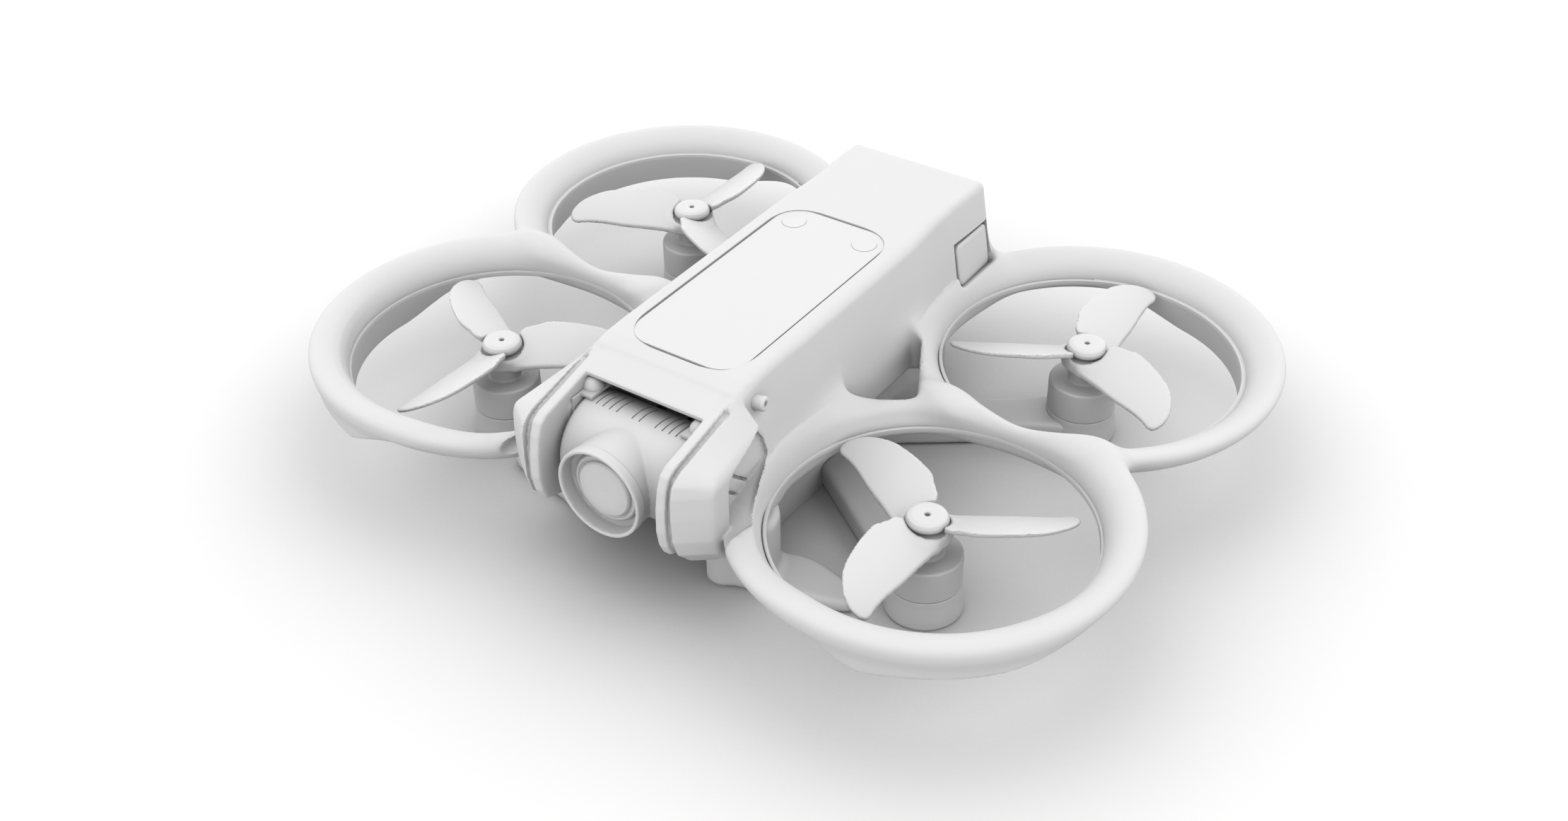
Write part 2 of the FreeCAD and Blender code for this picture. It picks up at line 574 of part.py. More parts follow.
def motor_arm(corner):
    """Flat arm from the belly's side to the motor, cut round where the motor stands."""
    across, along = CORNERS[corner]
    hub_x = size("front_hub_x" if along < 0 else "rear_hub_x")
    run_x = hub_x - size("arm_root_x")
    run_y = size("hub_y") - size("arm_root_y")
    angle = math.degrees(math.atan2(along * run_y, across * run_x))
    bar = box("arm_bar_" + corner, (math.hypot(run_x, run_y), "arm_width", "arm_depth"), (0, 0, 0))
    turn(bar, (0, 0, 1), angle)
    shift_x = math.sin(math.radians(angle))
    shift_y = math.cos(math.radians(angle))
    place(bar, f"{across} * ( arm_root_x - 8 ) + {shift_x} * arm_width / 2",
          f"{along} * ( arm_root_y - {8 * run_y / run_x} ) - {shift_y} * arm_width / 2", 0.6)
    belly_side = box("arm_side_" + corner, (60, 160, 30),
                     ("belly_half + 0.02" if across > 0 else "-belly_half - 60.02", -80, -5))
    kept = common("arm_outside_" + corner, bar, belly_side)
    seat = cylinder("arm_seat_" + corner, "base_radius + 0.02", 30, (0, 0, 0))
    corner_place(seat, corner, "-5")
    node(cut("arm_cut_" + corner, kept, seat), "motor_arm_" + corner)


# ---- motors and propellers ----

def motor(corner):
    base_points = [("shaft_radius + fit_gap", "0"), ("base_radius - 0.8", "0"), ("base_radius", "0.8"),
                   ("base_radius", "lip_height - base_top - 1"), ("base_radius - 1", "lip_height - base_top"),
                   ("2.6", "lip_height - base_top"), ("2.6", "lip_height - bell_top - 2.2"),
                   ("shaft_radius + fit_gap", "lip_height - bell_top - 2.2")]
    base = turned("base_" + corner, base_points, (0, 0, 0))
    corner_place(base, corner, 0)
    node(base, "motor_base_" + corner)

    low = "lip_height - bell_bottom"
    top = "lip_height - bell_top"
    neck_top = "lip_height - prop_hub_low - 0.05"
    bell_points = [("shaft_radius + 0.02", f"{top} - 1.6"), ("bell_radius - bell_wall", f"{top} - 1.6"),
                   ("bell_radius - bell_wall", low), ("bell_radius", low), ("bell_radius", f"{top} - 0.5"),
                   ("bell_radius - 0.5", top), ("4.2", top), ("5.2", neck_top),
                   ("shaft_radius + 0.02", neck_top)]
    bell = turned("bell_turned_" + corner, bell_points, (0, 0, 0))
    corner_place(bell, corner, 0)
    node(bell, "motor_bell_" + corner)

    shaft = cylinder("shaft_" + corner, "shaft_radius", "lip_height - 0.2", (0, 0, 0))
    corner_place(shaft, corner, 3)
    node(shaft, "motor_shaft_" + corner)


def stator_ring(corner):
    body = new_body("stator_" + corner)
    sketch = new_sketch(body, "XY_Plane")
    circle(sketch, "stator_radius - 2.4")
    circle(sketch, "2.62")
    pad(body, sketch, "stator_height")
    tooth = body.newObject("Sketcher::SketchObject", "tooth_sketch_" + corner)
    tooth.AttachmentSupport = (next(f for f in body.Origin.OriginFeatures if f.Role == "XY_Plane"), "")
    tooth.MapMode = "FlatFace"
    outline(tooth, [("stator_radius - 3", -1), ("stator_radius - 0.2", -1), ("stator_radius - 0.2", 1),
                    ("stator_radius - 3", 1)])
    feature = body.newObject("PartDesign::Pad", "tooth_pad_" + corner)
    feature.Profile = tooth
    bind(feature, "Length", "stator_height")
    doc.recompute()
    ring = body.newObject("PartDesign::PolarPattern", "teeth_" + corner)
    ring.Originals = [feature]
    ring.Axis = (next(f for f in body.Origin.OriginFeatures if f.Role == "Z_Axis"), [""])
    ring.Occurrences = 12
    body.Tip = ring
    corner_place(body, corner, "lip_height - bell_bottom + 1.2")
    return body


def blade_section(radius, chord, pitch):
    """Closed thin wing section at one radius, twisted by its pitch."""
    thick = 0.5 + 0.055 * chord
    lean = math.radians(pitch)
    points = []
    for along, up in ((-0.5, 0.0), (-0.36, 0.42), (0.0, 0.5), (0.36, 0.26), (0.5, 0.0), (0.36, -0.26),
                      (0.0, -0.42), (-0.36, -0.42)):
        across = along * chord
        lift = up * thick
        points.append(FreeCAD.Vector(radius, across * math.cos(lean) - lift * math.sin(lean),
                                     across * math.sin(lean) + lift * math.cos(lean)))
    curve = Part.BSplineCurve()
    curve.interpolate(points, PeriodicFlag=True)
    return Part.Wire([curve.toShape()])


def propeller(corner):
    """Three broad twisted blades on a round hub."""
    hand = CORNERS[corner][0] * CORNERS[corner][1]
    tip = size("prop_radius")
    widest = size("chord_max")
    sections = []
    for part, share, pitch in ((0.12, 0.34, 30), (0.25, 0.38, 27), (0.4, 0.66, 22), (0.55, 0.92, 18),
                               (0.7, 1.0, 15), (0.85, 0.86, 12), (0.95, 0.56, 10), (0.995, 0.24, 9)):
        sections.append(blade_section(tip * part, widest * share, pitch))
    blade = Part.makeLoft(sections, True)
    top = size("prop_hub_top")
    low = -size("prop_hub_low")
    hub = Part.makeCylinder(size("prop_hub_radius"), top - low, FreeCAD.Vector(0, 0, low))
    hub = hub.makeFillet(0.8, hub.Edges)
    whole = hub
    for i in range(3):
        copy = blade.copy()
        copy.rotate(FreeCAD.Vector(), FreeCAD.Vector(0, 0, 1), 120 * i)
        whole = whole.fuse(copy)
    bore = Part.makeCylinder(size("shaft_radius") + 0.02, 12, FreeCAD.Vector(0, 0, -6))
    whole = whole.cut(bore)
    if hand < 0:
        whole = whole.mirror(FreeCAD.Vector(), FreeCAD.Vector(0, 1, 0))
    made = doc.addObject("Part::Feature", "prop_" + corner)
    made.Shape = whole
    turn(made, (0, 0, 1), BLADE_ANGLES[corner])
    corner_place(made, corner, "lip_height")
    node(made, "propeller_" + corner)
    cap = turned("cap_" + corner, [("0", "prop_hub_top + 0.1"), ("3", "prop_hub_top + 0.1"), ("3", "cap_low"),
                                   ("cap_radius", "cap_low"), ("cap_radius", "cap_top - 1"),
                                   ("cap_radius - 1", "cap_top"), ("0.7", "cap_top"), ("0.7", "cap_top - 0.8"),
                                   ("0", "cap_top - 0.8")], (0, 0, 0))
    corner_place(cap, corner, "lip_height")
    bore = cylinder("cap_bore_" + corner, "shaft_radius + 0.02", 4, (0, 0, 0))
    corner_place(bore, corner, "lip_height - 0.5")
    node(cut("cap_cut_" + corner, cap, bore), "prop_cap_" + corner)


BLADE_ANGLES = {"front_right": 34, "front_left": 146, "rear_right": 88, "rear_left": 92}


# ---- battery and its latches ----

def battery():
    long = "case_end - case_front"
    tall = "case_high - case_low"
    solid = box("case_solid", ("2 * case_half", long, tall), ("-case_half", "case_front", "lip_height + case_low"))
    hollow = box("case_hollow", ("2 * case_half - 2 * case_wall", f"{long} - case_wall", f"{tall} - 2 * case_wall"),
                 ("-case_half + case_wall", "case_front + case_wall", "lip_height + case_low + case_wall"))
    contact_hole = box("contact_hole", (12, 4, 4), (-6, "case_front - 1", "lip_height + 14"))
    node(cut("case_cut", solid, hollow, contact_hole), "battery_case")
    cells = [box(f"cell_{i}", ("2 * case_half - 2 * case_wall - 1", f"{long} - 4", "cell_depth - 0.2"),
                 ("-case_half + case_wall + 0.5", "case_front + 3",
                  f"lip_height + case_low + case_wall + 0.3 + {i} * ( cell_depth + 0.1 )")) for i in range(4)]
    group("battery_cells", cells)
    cap = plate("end_cap", "XZ_Plane", [("-case_half", "case_low"), ("case_half", "case_low"),
                                        ("case_half", "case_high"), ("-case_half", "case_high")],
                "tail_end - case_end - 0.05", "-tail_end")
    place(cap, 0, 0, "lip_height")
    button_well = cylinder("button_well", "button_radius + 0.1", 3, (0, "tail_end - 2", "lip_height + 15.5"), "Y")
    turn(button_well, (1, 0, 0), -90)
    node(cut("end_cap_cut", cap, button_well), "battery_end_cap")
    button = cylinder("button", "button_radius", 1.3, (0, "tail_end - 1.2", "lip_height + 15.5"), "Y")
    turn(button, (1, 0, 0), -90)
    node(button, "power_button")
    group("battery_contacts", [box(f"contact_{i}", (0.8, 4.4, 3), (f"( {i} - 2 ) * 2.2 - 0.4", "case_front - 2.2",
                                                                  "lip_height + 14.5")) for i in range(5)])
    socket = box("socket_block", (15, 3, 7), (-7.5, -2.8, "lip_height + 12.5"))
    socket_room = box("socket_room", (11.4, 3, 3.6), (-5.7, -1.4, "lip_height + 14.2"))
    node(cut("socket_cut", socket, socket_room), "battery_socket")


SPRING_DISCS = [("0.8", "0"), ("1.6", "0.15"), ("1.1", "0.35"), ("1.6", "0.55"), ("1.1", "0.75"), ("1.6", "0.95"),
                ("0.8", "1.1"), ("0.8", "0.9"), ("0.95", "0.75"), ("0.8", "0.55"), ("0.95", "0.35"), ("0.8", "0.15")]


def latches():
    """Pressed latch buttons, and the springs behind them as short stacks of spring discs."""
    for side in SIDES:
        button = latch_box("latch_block", side, "0", "latch_depth", LATCH_BACK)
        node(button, "latch_button_" + side)
    springs = []
    for side, sign in SIDES.items():
        spring = turned("spring_" + side, SPRING_DISCS, (0, 0, 0))
        turn(spring, (0, 1, 0), 90 * sign)
        place(spring, f"{sign} * 18.8", "latch_y", "lip_height + latch_rise")
        springs.append(spring)
    group("latch_springs", springs)


# ---- electronics ----

def electronics():
    board = box("board_plate", (32, 38, 1.2), (-16, -45, "lip_height + 3"))
    chips = [box(f"chip_{i}", (long, wide, 1.4), (x, y, "lip_height + 4.1"))
             for i, (x, y, long, wide) in enumerate(((-9, -38, 14, 14), (7, -40, 7, 9), (-13, -18, 9, 7), (2, -20, 11, 8)))]
    node(fuse("board_fused", board, *chips), "main_board")
    sink = box("sink_base", (28, 34, 1.6), (-14, -43, "lip_height + 20"))
    fins = [box(f"fin_{i}", (0.9, 34, 6), (f"-14 + {i} * 27.1 / 9", -43, "lip_height + 21.5")) for i in range(10)]
    node(fuse("sink_fused", sink, *fins), "heat_sink")
    esc = box("esc_plate", (22, 60, 1.4), (-11, -34, 6))
    transistors = [box(f"esc_chip_{i}_{j}", (5, 6, 1), (x, f"-30 + {j} * 16", 7.3))
                   for i, x in enumerate((-9, 4)) for j in range(3)]
    node(fuse("esc_fused", esc, *transistors), "esc_board")
    node(box("ribbon", (7, 8, 0.3), (-3.5, -55.5, "lip_height + 12.8")), "camera_ribbon")
    group("antennas", [box("antenna_" + side, (0.8, 30, 9), (f"{sign} * 18.4 - 0.4", -26, 8))
                       for side, sign in SIDES.items()])


airframe()
roof_panel()
nose_plates()
cheek_guards()
side_peg()
camera()
camera_bracket()
belly()
feet()
for name in CORNERS:
    motor_arm(name)
    motor(name)
    propeller(name)
group("stators", [stator_ring(name) for name in CORNERS])
battery()
latches()
electronics()
doc.recompute()

failed = [thing.Label for thing in doc.Objects if {"Invalid", "Error"} & set(thing.State)]
failed += [thing.Label for thing in nodes if thing.Shape.isNull() or not thing.Shape.isValid()]
if failed:
    raise SystemExit(f"not built: {failed}")

os.makedirs("parts", exist_ok=True)
for thing in nodes:
    thing.Shape.exportStep(f"parts/{thing.Label}.step")
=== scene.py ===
import json
import math
from functools import partial

import bmesh
import bpy
import numpy as np
from mathutils import Matrix, Vector

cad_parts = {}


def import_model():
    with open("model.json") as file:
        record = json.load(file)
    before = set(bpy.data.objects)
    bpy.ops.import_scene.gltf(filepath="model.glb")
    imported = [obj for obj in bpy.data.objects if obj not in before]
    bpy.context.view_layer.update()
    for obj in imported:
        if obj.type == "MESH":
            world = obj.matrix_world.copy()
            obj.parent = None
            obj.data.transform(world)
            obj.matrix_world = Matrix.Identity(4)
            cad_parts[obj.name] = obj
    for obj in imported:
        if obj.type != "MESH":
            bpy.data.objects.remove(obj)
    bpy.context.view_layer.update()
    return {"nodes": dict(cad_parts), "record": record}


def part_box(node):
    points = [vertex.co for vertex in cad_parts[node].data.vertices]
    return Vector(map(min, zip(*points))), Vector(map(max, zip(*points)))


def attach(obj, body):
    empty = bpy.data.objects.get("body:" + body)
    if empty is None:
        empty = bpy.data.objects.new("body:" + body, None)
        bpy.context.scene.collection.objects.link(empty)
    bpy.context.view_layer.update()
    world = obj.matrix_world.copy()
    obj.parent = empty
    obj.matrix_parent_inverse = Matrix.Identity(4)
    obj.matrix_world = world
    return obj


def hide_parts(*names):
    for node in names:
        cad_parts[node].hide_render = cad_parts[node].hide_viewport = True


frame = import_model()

# Ducted racing drone. Shapes are worked out in millimetres, with heights above the duct lips,
# and turned into metres in the shared frame when a mesh is made. The right half is described and
# the left half is its mirror image.

MM = 0.001
TINY = 1e-9
# each corner's side of the mirror plane, and -1 at the nose or 1 at the tail
CORNERS = {
    "front_left": (-1, -1), "front_right": (1, -1), "rear_left": (-1, 1), "rear_right": (1, 1),
}


def middle(node):
    """Centre of a CAD piece's box, in millimetres above the ground."""
    low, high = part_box(node)
    return (low + high) / 2 / MM


# a propeller cap's top above the plane of the duct lips, and that plane's height
CAP_TOP = 4.8
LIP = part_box("prop_cap_front_right")[1].z / MM - CAP_TOP
HUBS = {corner: middle("prop_cap_" + corner) for corner in CORNERS}
AXLE = middle("camera_drum")
AXLE_Y = AXLE.y
AXLE_Z = AXLE.z - LIP


# ---- signed distance fields ----

def union(a, b, radius=0.0):
    """Joined shapes with a soft blend about radius wide."""
    if radius <= 0:
        return np.minimum(a, b)
    share = np.clip(0.5 + 0.5 * (b - a) / radius, 0, 1)
    return b + (a - b) * share - radius * share * (1 - share)


def overlap(a, b, radius=0.0):
    """What two shapes share, with a soft edge."""
    return -union(-a, -b, radius)


def carve(a, b, radius=0.0):
    """The first shape less the second, with a soft edge."""
    return overlap(a, -b, radius)


def round_overlap(a, b, radius):
    """Overlap whose shared edge is a true round."""
    return (np.minimum(-radius, np.maximum(a, b))
            + np.hypot(np.maximum(a + radius, 0), np.maximum(b + radius, 0)))


def polygon(px, py, points):
    """Signed distance to a closed polygon in a plane."""
    best = np.float32(1e12)  # further off than anything drawn here
    inside = False
    for (ax, ay), (bx, by) in zip(points, points[1:] + points[:1]):
        ex, ey = bx - ax, by - ay
        wx, wy = px - ax, py - ay
        share = np.clip((wx * ex + wy * ey) / (ex * ex + ey * ey + TINY), 0, 1)
        best = np.minimum(best, (wx - ex * share) ** 2 + (wy - ey * share) ** 2)
        steep = np.where(ey == 0, TINY, ey)
        crossed = ((py >= ay) != (py >= by)) & (px < (py - ay) * ex / steep + ax)
        inside = inside ^ crossed
    return np.where(inside, -1, 1) * np.sqrt(best)


def ease(share):
    """An S between 0 and 1 that leaves and arrives level."""
    return share * share * (3 - 2 * share)


# ---- meshes ----

WELD_REACH = 1e-7


def link(name, mesh, body):
    """Puts a mesh into the scene as a piece that rides on a body."""
    thing = bpy.data.objects.new(name, mesh)
    bpy.context.scene.collection.objects.link(thing)
    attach(thing, body)
    return thing


def make_mesh(name, points, faces, sharp=40):
    """A mesh from points in millimetres above the lip plane."""
    points = (np.asarray(points, float) + (0, 0, LIP)) * MM
    mesh = bpy.data.meshes.new(name)
    mesh.from_pydata(points.tolist(), [], [list(map(int, face)) for face in faces])
    mesh.validate()
    finish_mesh(mesh, sharp)
    return mesh


def finish_mesh(mesh, sharp=40):
    """Welds a mesh, turns its faces outward and keeps edges sharper than an angle crisp."""
    bm = bmesh.new()
    bm.from_mesh(mesh)
    bmesh.ops.remove_doubles(bm, verts=bm.verts, dist=WELD_REACH)
    bmesh.ops.recalc_face_normals(bm, faces=bm.faces)
    bm.to_mesh(mesh)
    bm.free()
    mesh.shade_smooth()
    mesh.set_sharp_from_angle(angle=math.radians(sharp))


def net(field, xs, ys, zs, mirrored=False):
    """The zero surface of a field on a box grid, one corner to each cell it passes through."""
    columns = xs[xs >= 0] if mirrored else xs
    values = field(columns[:, None, None], ys[None, :, None], zs[None, None, :]).astype(np.float32)
    if mirrored:
        values = np.concatenate([values[:0:-1], values])
    inside = values < 0
    lines = (xs, ys, zs)
    counts = [len(line) for line in lines]
    cells, crossings, quads = [], [], []
    for axis in range(3):
        first, second = (axis + 1) % 3, (axis + 2) % 3
        low = [slice(None)] * 3
        high = [slice(None)] * 3
        low[axis], high[axis] = slice(0, -1), slice(1, None)
        spots = np.stack(np.nonzero(inside[tuple(low)] != inside[tuple(high)]), 1)
        for other in (first, second):
            spots = spots[(spots[:, other] > 0) & (spots[:, other] < counts[other] - 1)]
        ends = spots.copy()
        ends[:, axis] += 1
        start_value = values[tuple(spots.T)]
        end_value = values[tuple(ends.T)]
        share = start_value / (start_value - end_value)
        points = np.stack([lines[m][spots[:, m]] for m in range(3)], 1).astype(float)
        points[:, axis] += share * (lines[axis][ends[:, axis]] - lines[axis][spots[:, axis]])
        around = []
        for da, db in ((-1, -1), (0, -1), (0, 0), (-1, 0)):
            cell = spots.copy()
            cell[:, first] += da
            cell[:, second] += db
            around.append(np.ravel_multi_index(cell.T, counts))
        around = np.stack(around, 1)
        outward = inside[tuple(spots.T)]
        quads.append(np.where(outward[:, None], around, around[:, ::-1]))
        for column in range(4):
            cells.append(around[:, column])
            crossings.append(points)
    cells = np.concatenate(cells)
    crossings = np.concatenate(crossings)
    used, place = np.unique(cells, return_inverse=True)
    total = np.bincount(place)
    points = np.stack([np.bincount(place, crossings[:, m]) / total for m in range(3)], 1)
    faces = np.searchsorted(used, np.concatenate(quads))
    return points, faces


FLATTEST_SLOPE = 0.2
LONGEST_SHIFT = 0.4


def settle(field, points, rounds=3, nudge=0.02):
    """Moves each point down the field's slope on to its zero surface."""
    for _ in range(rounds):
        x, y, z = points.T
        value = field(x, y, z)
        slope = np.stack([(field(x + nudge, y, z) - value) / nudge,
                          (field(x, y + nudge, z) - value) / nudge,
                          (field(x, y, z + nudge) - value) / nudge], 1)
        size = np.maximum((slope ** 2).sum(1), FLATTEST_SLOPE)
        shift = np.clip(value / size, -LONGEST_SHIFT, LONGEST_SHIFT)
        points = points - shift[:, None] * slope
    return points


def field_mesh(name, field, xs, ys, zs, sharp=50, mirrored=False):
    """A mesh of a field's zero surface."""
    points, faces = net(field, xs, ys, zs, mirrored)
    points = settle(field, points)
    return make_mesh(name, points, faces, sharp)


def stops(*parts):
    """Grid lines from (start, end, step) runs that follow one another."""
    lines = []
    for start, end, gap in parts:
        count = max(2, round(abs(end - start) / gap) + 1)
        lines.append(np.linspace(start, end, count)[:-1])
    return np.concatenate(lines + [[parts[-1][1]]])


def lathe(profile, centre=(0, 0), start=0, sweep=360, segments=128, drop=None):
    """Points and faces of a closed profile of (radius, height) turned about an upright axis.

    drop, if given, shifts the profile's lower half down by drop(share of the sweep).
    """
    closed = sweep >= 360
    turns = segments if closed else segments + 1
    count = len(profile)
    middle_height = sum(height for _, height in profile) / count
    points = []
    for i in range(turns):
        angle = math.radians(start + sweep * i / segments)
        shift = drop(i / segments) if drop else 0
        for radius, height in profile:
            low = height - shift if height < middle_height else height
            points.append((centre[0] + radius * math.cos(angle),
                           centre[1] + radius * math.sin(angle), low))
    faces = []
    for i in range(segments):
        here, there = i * count, ((i + 1) % turns) * count
        for j in range(count):
            k = (j + 1) % count
            faces.append((here + j, there + j, there + k, here + k))
    if not closed:
        faces.append(tuple(range(count)))
        faces.append(tuple((turns - 1) * count + j for j in reversed(range(count))))
    return points, faces


def about_lens(points):
    """Turns points made about an upright axis to face along the lens, from the tilt axle."""
    return [(x, AXLE_Y - z, AXLE_Z + y) for x, y, z in points]


def corner_cut(outline, rounds=2):
    """Softens a closed outline by cutting its corners over and over."""
    for _ in range(rounds):
        made = []
        for (ax, ay), (bx, by) in zip(outline, outline[1:] + outline[:1]):
            made.append((0.75 * ax + 0.25 * bx, 0.75 * ay + 0.25 * by))
            made.append((0.25 * ax + 0.75 * bx, 0.25 * ay + 0.75 * by))
        outline = made
    return outline


# how far along an edge a corner's round may start, so that two rounds never meet
MOST_OF_EDGE = 0.49


def rounded(points, radius, arc=4):
    """A closed outline with each corner replaced by a round."""
    made = []
    for i, point in enumerate(points):
        here = Vector(point)
        before = Vector(points[i - 1]) - here
        after = Vector(points[(i + 1) % len(points)]) - here
        reach = min(radius, before.length * MOST_OF_EDGE, after.length * MOST_OF_EDGE)
        start = here + before.normalized() * reach
        end = here + after.normalized() * reach
        for k in range(arc + 1):
            t = k / arc
            spot = start * (1 - t) ** 2 + here * 2 * t * (1 - t) + end * t * t
            made.append(tuple(spot))
    return made


def join_meshes(parts):
    """Several sets of points and faces as one."""
    points, faces = [], []
    for more_points, more_faces in parts:
        base = len(points)
        points.extend(more_points)
        faces.extend([tuple(base + i for i in face) for face in more_faces])
    return points, faces


def boolean(target, points, faces, operation):
    """Cuts or joins a crisp solid into a piece for good."""
    tool = bpy.data.objects.new("tool", make_mesh("tool", points, faces))
    bpy.context.scene.collection.objects.link(tool)
    modifier = target.modifiers.new("cut", "BOOLEAN")
    modifier.operation = operation
    modifier.solver = "MANIFOLD"
    modifier.object = tool
    graph = bpy.context.evaluated_depsgraph_get()
    mesh = bpy.data.meshes.new_from_object(target.evaluated_get(graph))
    target.modifiers.clear()
    target.data = mesh
    bpy.data.objects.remove(tool)


def block(low, high):
    """A box between two corners."""
    xs, ys, zs = zip(low, high)
    points = [(x, y, z) for x in xs for y in ys for z in zs]
    return points, [(0, 1, 3, 2), (4, 6, 7, 5), (0, 4, 5, 1),
                    (2, 3, 7, 6), (0, 2, 6, 4), (1, 5, 7, 3)]


def prism(outline, low, high):
    """An upright prism of an outline in plan."""
    count = len(outline)
    points = [(x, y, low) for x, y in outline] + [(x, y, high) for x, y in outline]
    faces = [(i, (i + 1) % count, (i + 1) % count + count, i + count) for i in range(count)]
    return points, faces + [tuple(reversed(range(count))), tuple(range(count, 2 * count))]


def dress(piece, slot, *nodes):
    """Lets a skin stand for CAD pieces, and gives it their slot's look."""
    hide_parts(*nodes)
    paint(piece, looks[slot])


# ---- airframe ----

DUCTS = {"front": (70.4, -43.8), "rear": (70.2, 42.4)}
LIP_RADIUS = 41.0
# the fuselage's lean of its side walls in degrees, its underside, its roof and its half width there
WALL_TILT = 9.7
DECK = -4.0
ROOF = 31.0
ROOF_HALF = 22.2
TAIL_END = 66.0
NOSE_START = -58.0

COARSE, MEDIUM, FINE = 0.9, 0.55, 0.45


def about_duct(x, y, end):
    """Distance from a duct's axis, and the angle in degrees from +X towards +Y."""
    centre_x, centre_y = DUCTS[end]
    radius = np.hypot(x - centre_x, y - centre_y)
    return radius, np.degrees(np.arctan2(y - centre_y, x - centre_x))


def oval(across, up, long, short):
    """Distance, near enough, to an oval with two half widths."""
    scaled = np.sqrt((across / long) ** 2 + (up / short) ** 2) + 1e-6
    slope = np.sqrt((across / long ** 2) ** 2 + (up / short ** 2) ** 2) + 1e-6
    return scaled * (scaled - 1) / slope


# A rim is an oval bead that leans outwards, given by its middle, lean and half widths. A front
# rim is raised by a share that changes round the duct.
RIM_LEAN = 38
RIM_MIDDLE, RIM_MIDDLE_RAISED = 46.7, 0.7
RIM_RISE, RIM_RISE_RAISED = 1.7, 1.8
RIM_LONG = 6.5
RIM_SHORT, RIM_SHORT_RAISED = 3.1, 0.3
# The tall outer part of a front rim: its section, the point that the section shrinks to and how
# small it gets, how much of it stands at each angle round the duct, and its lower edge's height.
TALL_SECTION = [(42.0, 0.0), (42.0, 4.3), (43.2, 6.3), (45.3, 7.3), (48.7, 7.9), (49.9, 7.2),
                (50.4, 4.4), (49.9, -9.0), (44.0, -9.0)]
TALL_ROOT = (46, 3.5)
TALL_LEAST = 0.25
TALL_ROUND = 0.5
TALL_ANGLES = [-180, -128, -98, -36, 14, 180]
TALL_SHARES = [0, 0, 1, 1, 0, 0]
SKIRT_ANGLES = [-180, -99, -80, -66, -40, -28, -15, 0, 20]
SKIRT_FOOT = [4.2, 4.0, -2.8, -1.6, -1.0, 0.2, 1.4, 2.5, 3.2]
RAISED_ANGLES = [-180, -130, -95, 60, 100, 180]
RAISED_SHARES = [0, 0, 1, 1, 0, 0]


def rim_field(x, y, z, end):
    """Bell-mouth rim round one duct. The front ones stand taller, with a skirt outside."""
    radius, angle = about_duct(x, y, end)
    raised = np.interp(angle, RAISED_ANGLES, RAISED_SHARES) if end == "front" else 0.0
    lean = math.radians(RIM_LEAN)
    rise = RIM_RISE + RIM_RISE_RAISED * raised
    out = radius - RIM_MIDDLE + RIM_MIDDLE_RAISED * raised
    along = out * math.cos(lean) + (z - rise) * math.sin(lean)
    across = -out * math.sin(lean) + (z - rise) * math.cos(lean)
    ring = oval(along, across, RIM_LONG, RIM_SHORT + RIM_SHORT_RAISED * raised)
    if end == "front":
        share = ease(np.interp(angle, TALL_ANGLES, TALL_SHARES))
        foot = np.interp(angle, SKIRT_ANGLES, SKIRT_FOOT)
        size = TALL_LEAST + (1 - TALL_LEAST) * share
        root, base = TALL_ROOT
        section = [(root + (out - root) * size,
                    base + (np.maximum(up, foot + TALL_ROUND) - base) * size)
                   for out, up in TALL_SECTION]
        ring = union(ring, polygon(radius, z, section) - TALL_ROUND, 2.0)
    return ring


# A duct's mouth flares like a quarter round from FLARE_START up over FLARE_DEPTH, and then leans
# out a little. A front one flares less where the frame's side wall rises beside it.
FLARE_START = 1.0
FLARE_DEPTH = 8.0
FLARE_SPREAD = 4.5
FLARE_LEAN = 0.12
FLARE_ANGLES = [-180, -145, -120, 140, 180]
FLARE_SPREADS = [2.6, 2.6, 4.5, 4.5, 2.6]


def throat_field(x, y, z, end):
    """The clear air passage: straight at the lip and flared above it."""
    radius, angle = about_duct(x, y, end)
    height = np.clip(z - FLARE_START, 0, FLARE_DEPTH) / FLARE_DEPTH
    spread = np.interp(angle, FLARE_ANGLES, FLARE_SPREADS) if end == "front" else FLARE_SPREAD
    flare = LIP_RADIUS + spread * (1 - np.sqrt(1 - height ** 2 + TINY))
    flare = flare + FLARE_LEAN * np.clip(z - FLARE_START - FLARE_DEPTH, 0, 20)
    return (radius - flare) * 0.9


# how far a side wall spreads as it goes down, and the slope of the roof's fall to the nose; the
# factors that follow a slope in the fields turn its rise into distance
WALL_SPREAD = 0.162
FALL_START = -53.0
FALL_SLOPE = 4 / 13


def fuselage_field(x, y, z):
    """The fuselage: leaning side walls, a flat roof that falls to the nose, and a flat deck."""
    wall = (x - ROOF_HALF - WALL_SPREAD * (ROOF - z)) * 0.987
    fall = (z - ROOF - (y - FALL_START) * FALL_SLOPE) * 0.956
    section = round_overlap(wall, overlap(z - ROOF, fall, 2.5), 2.3)
    section = round_overlap(section, DECK - z, 1.5)
    section = round_overlap(section, y - TAIL_END, 2.5)
    return round_overlap(section, NOSE_START - y, 1.0)


# outlines seen from the side: the hood over the camera and the plate beside it
HOOD = [(-50, 30), (-53, 30.6), (-61, 28.4), (-66.2, 26.8), (-66.4, 25.6), (-61, 26.0),
        (-53, 27.4), (-50, 27.4)]
PLATE = [(-50, 30), (-53, 30.4), (-61, 28.2), (-65.7, 27), (-72, 25.4), (-78, 24), (-82.4, 23),
         (-84.6, 21.5), (-86, 18), (-87, 12.5), (-87.3, 6), (-86.5, 1.2), (-85, -1.9), (-79, -3.9),
         (-50, -3.9)]
# the cheek guard's outline at its inner face, and the lower edge of its wing behind
GUARD_FRONT = [(-50, 60), (-84.2, 60), (-84.5, 23.4), (-86.8, 20.5), (-87.7, 17.5), (-88, 11),
               (-87.6, 4), (-86, -1), (-81, -6.2), (-50, -6.2)]
GUARD_TOP_Y = [-90, -80, -66, -61, -50]
GUARD_TOP_Z = [21.8, 24.0, 27.5, 28.4, 29.0]
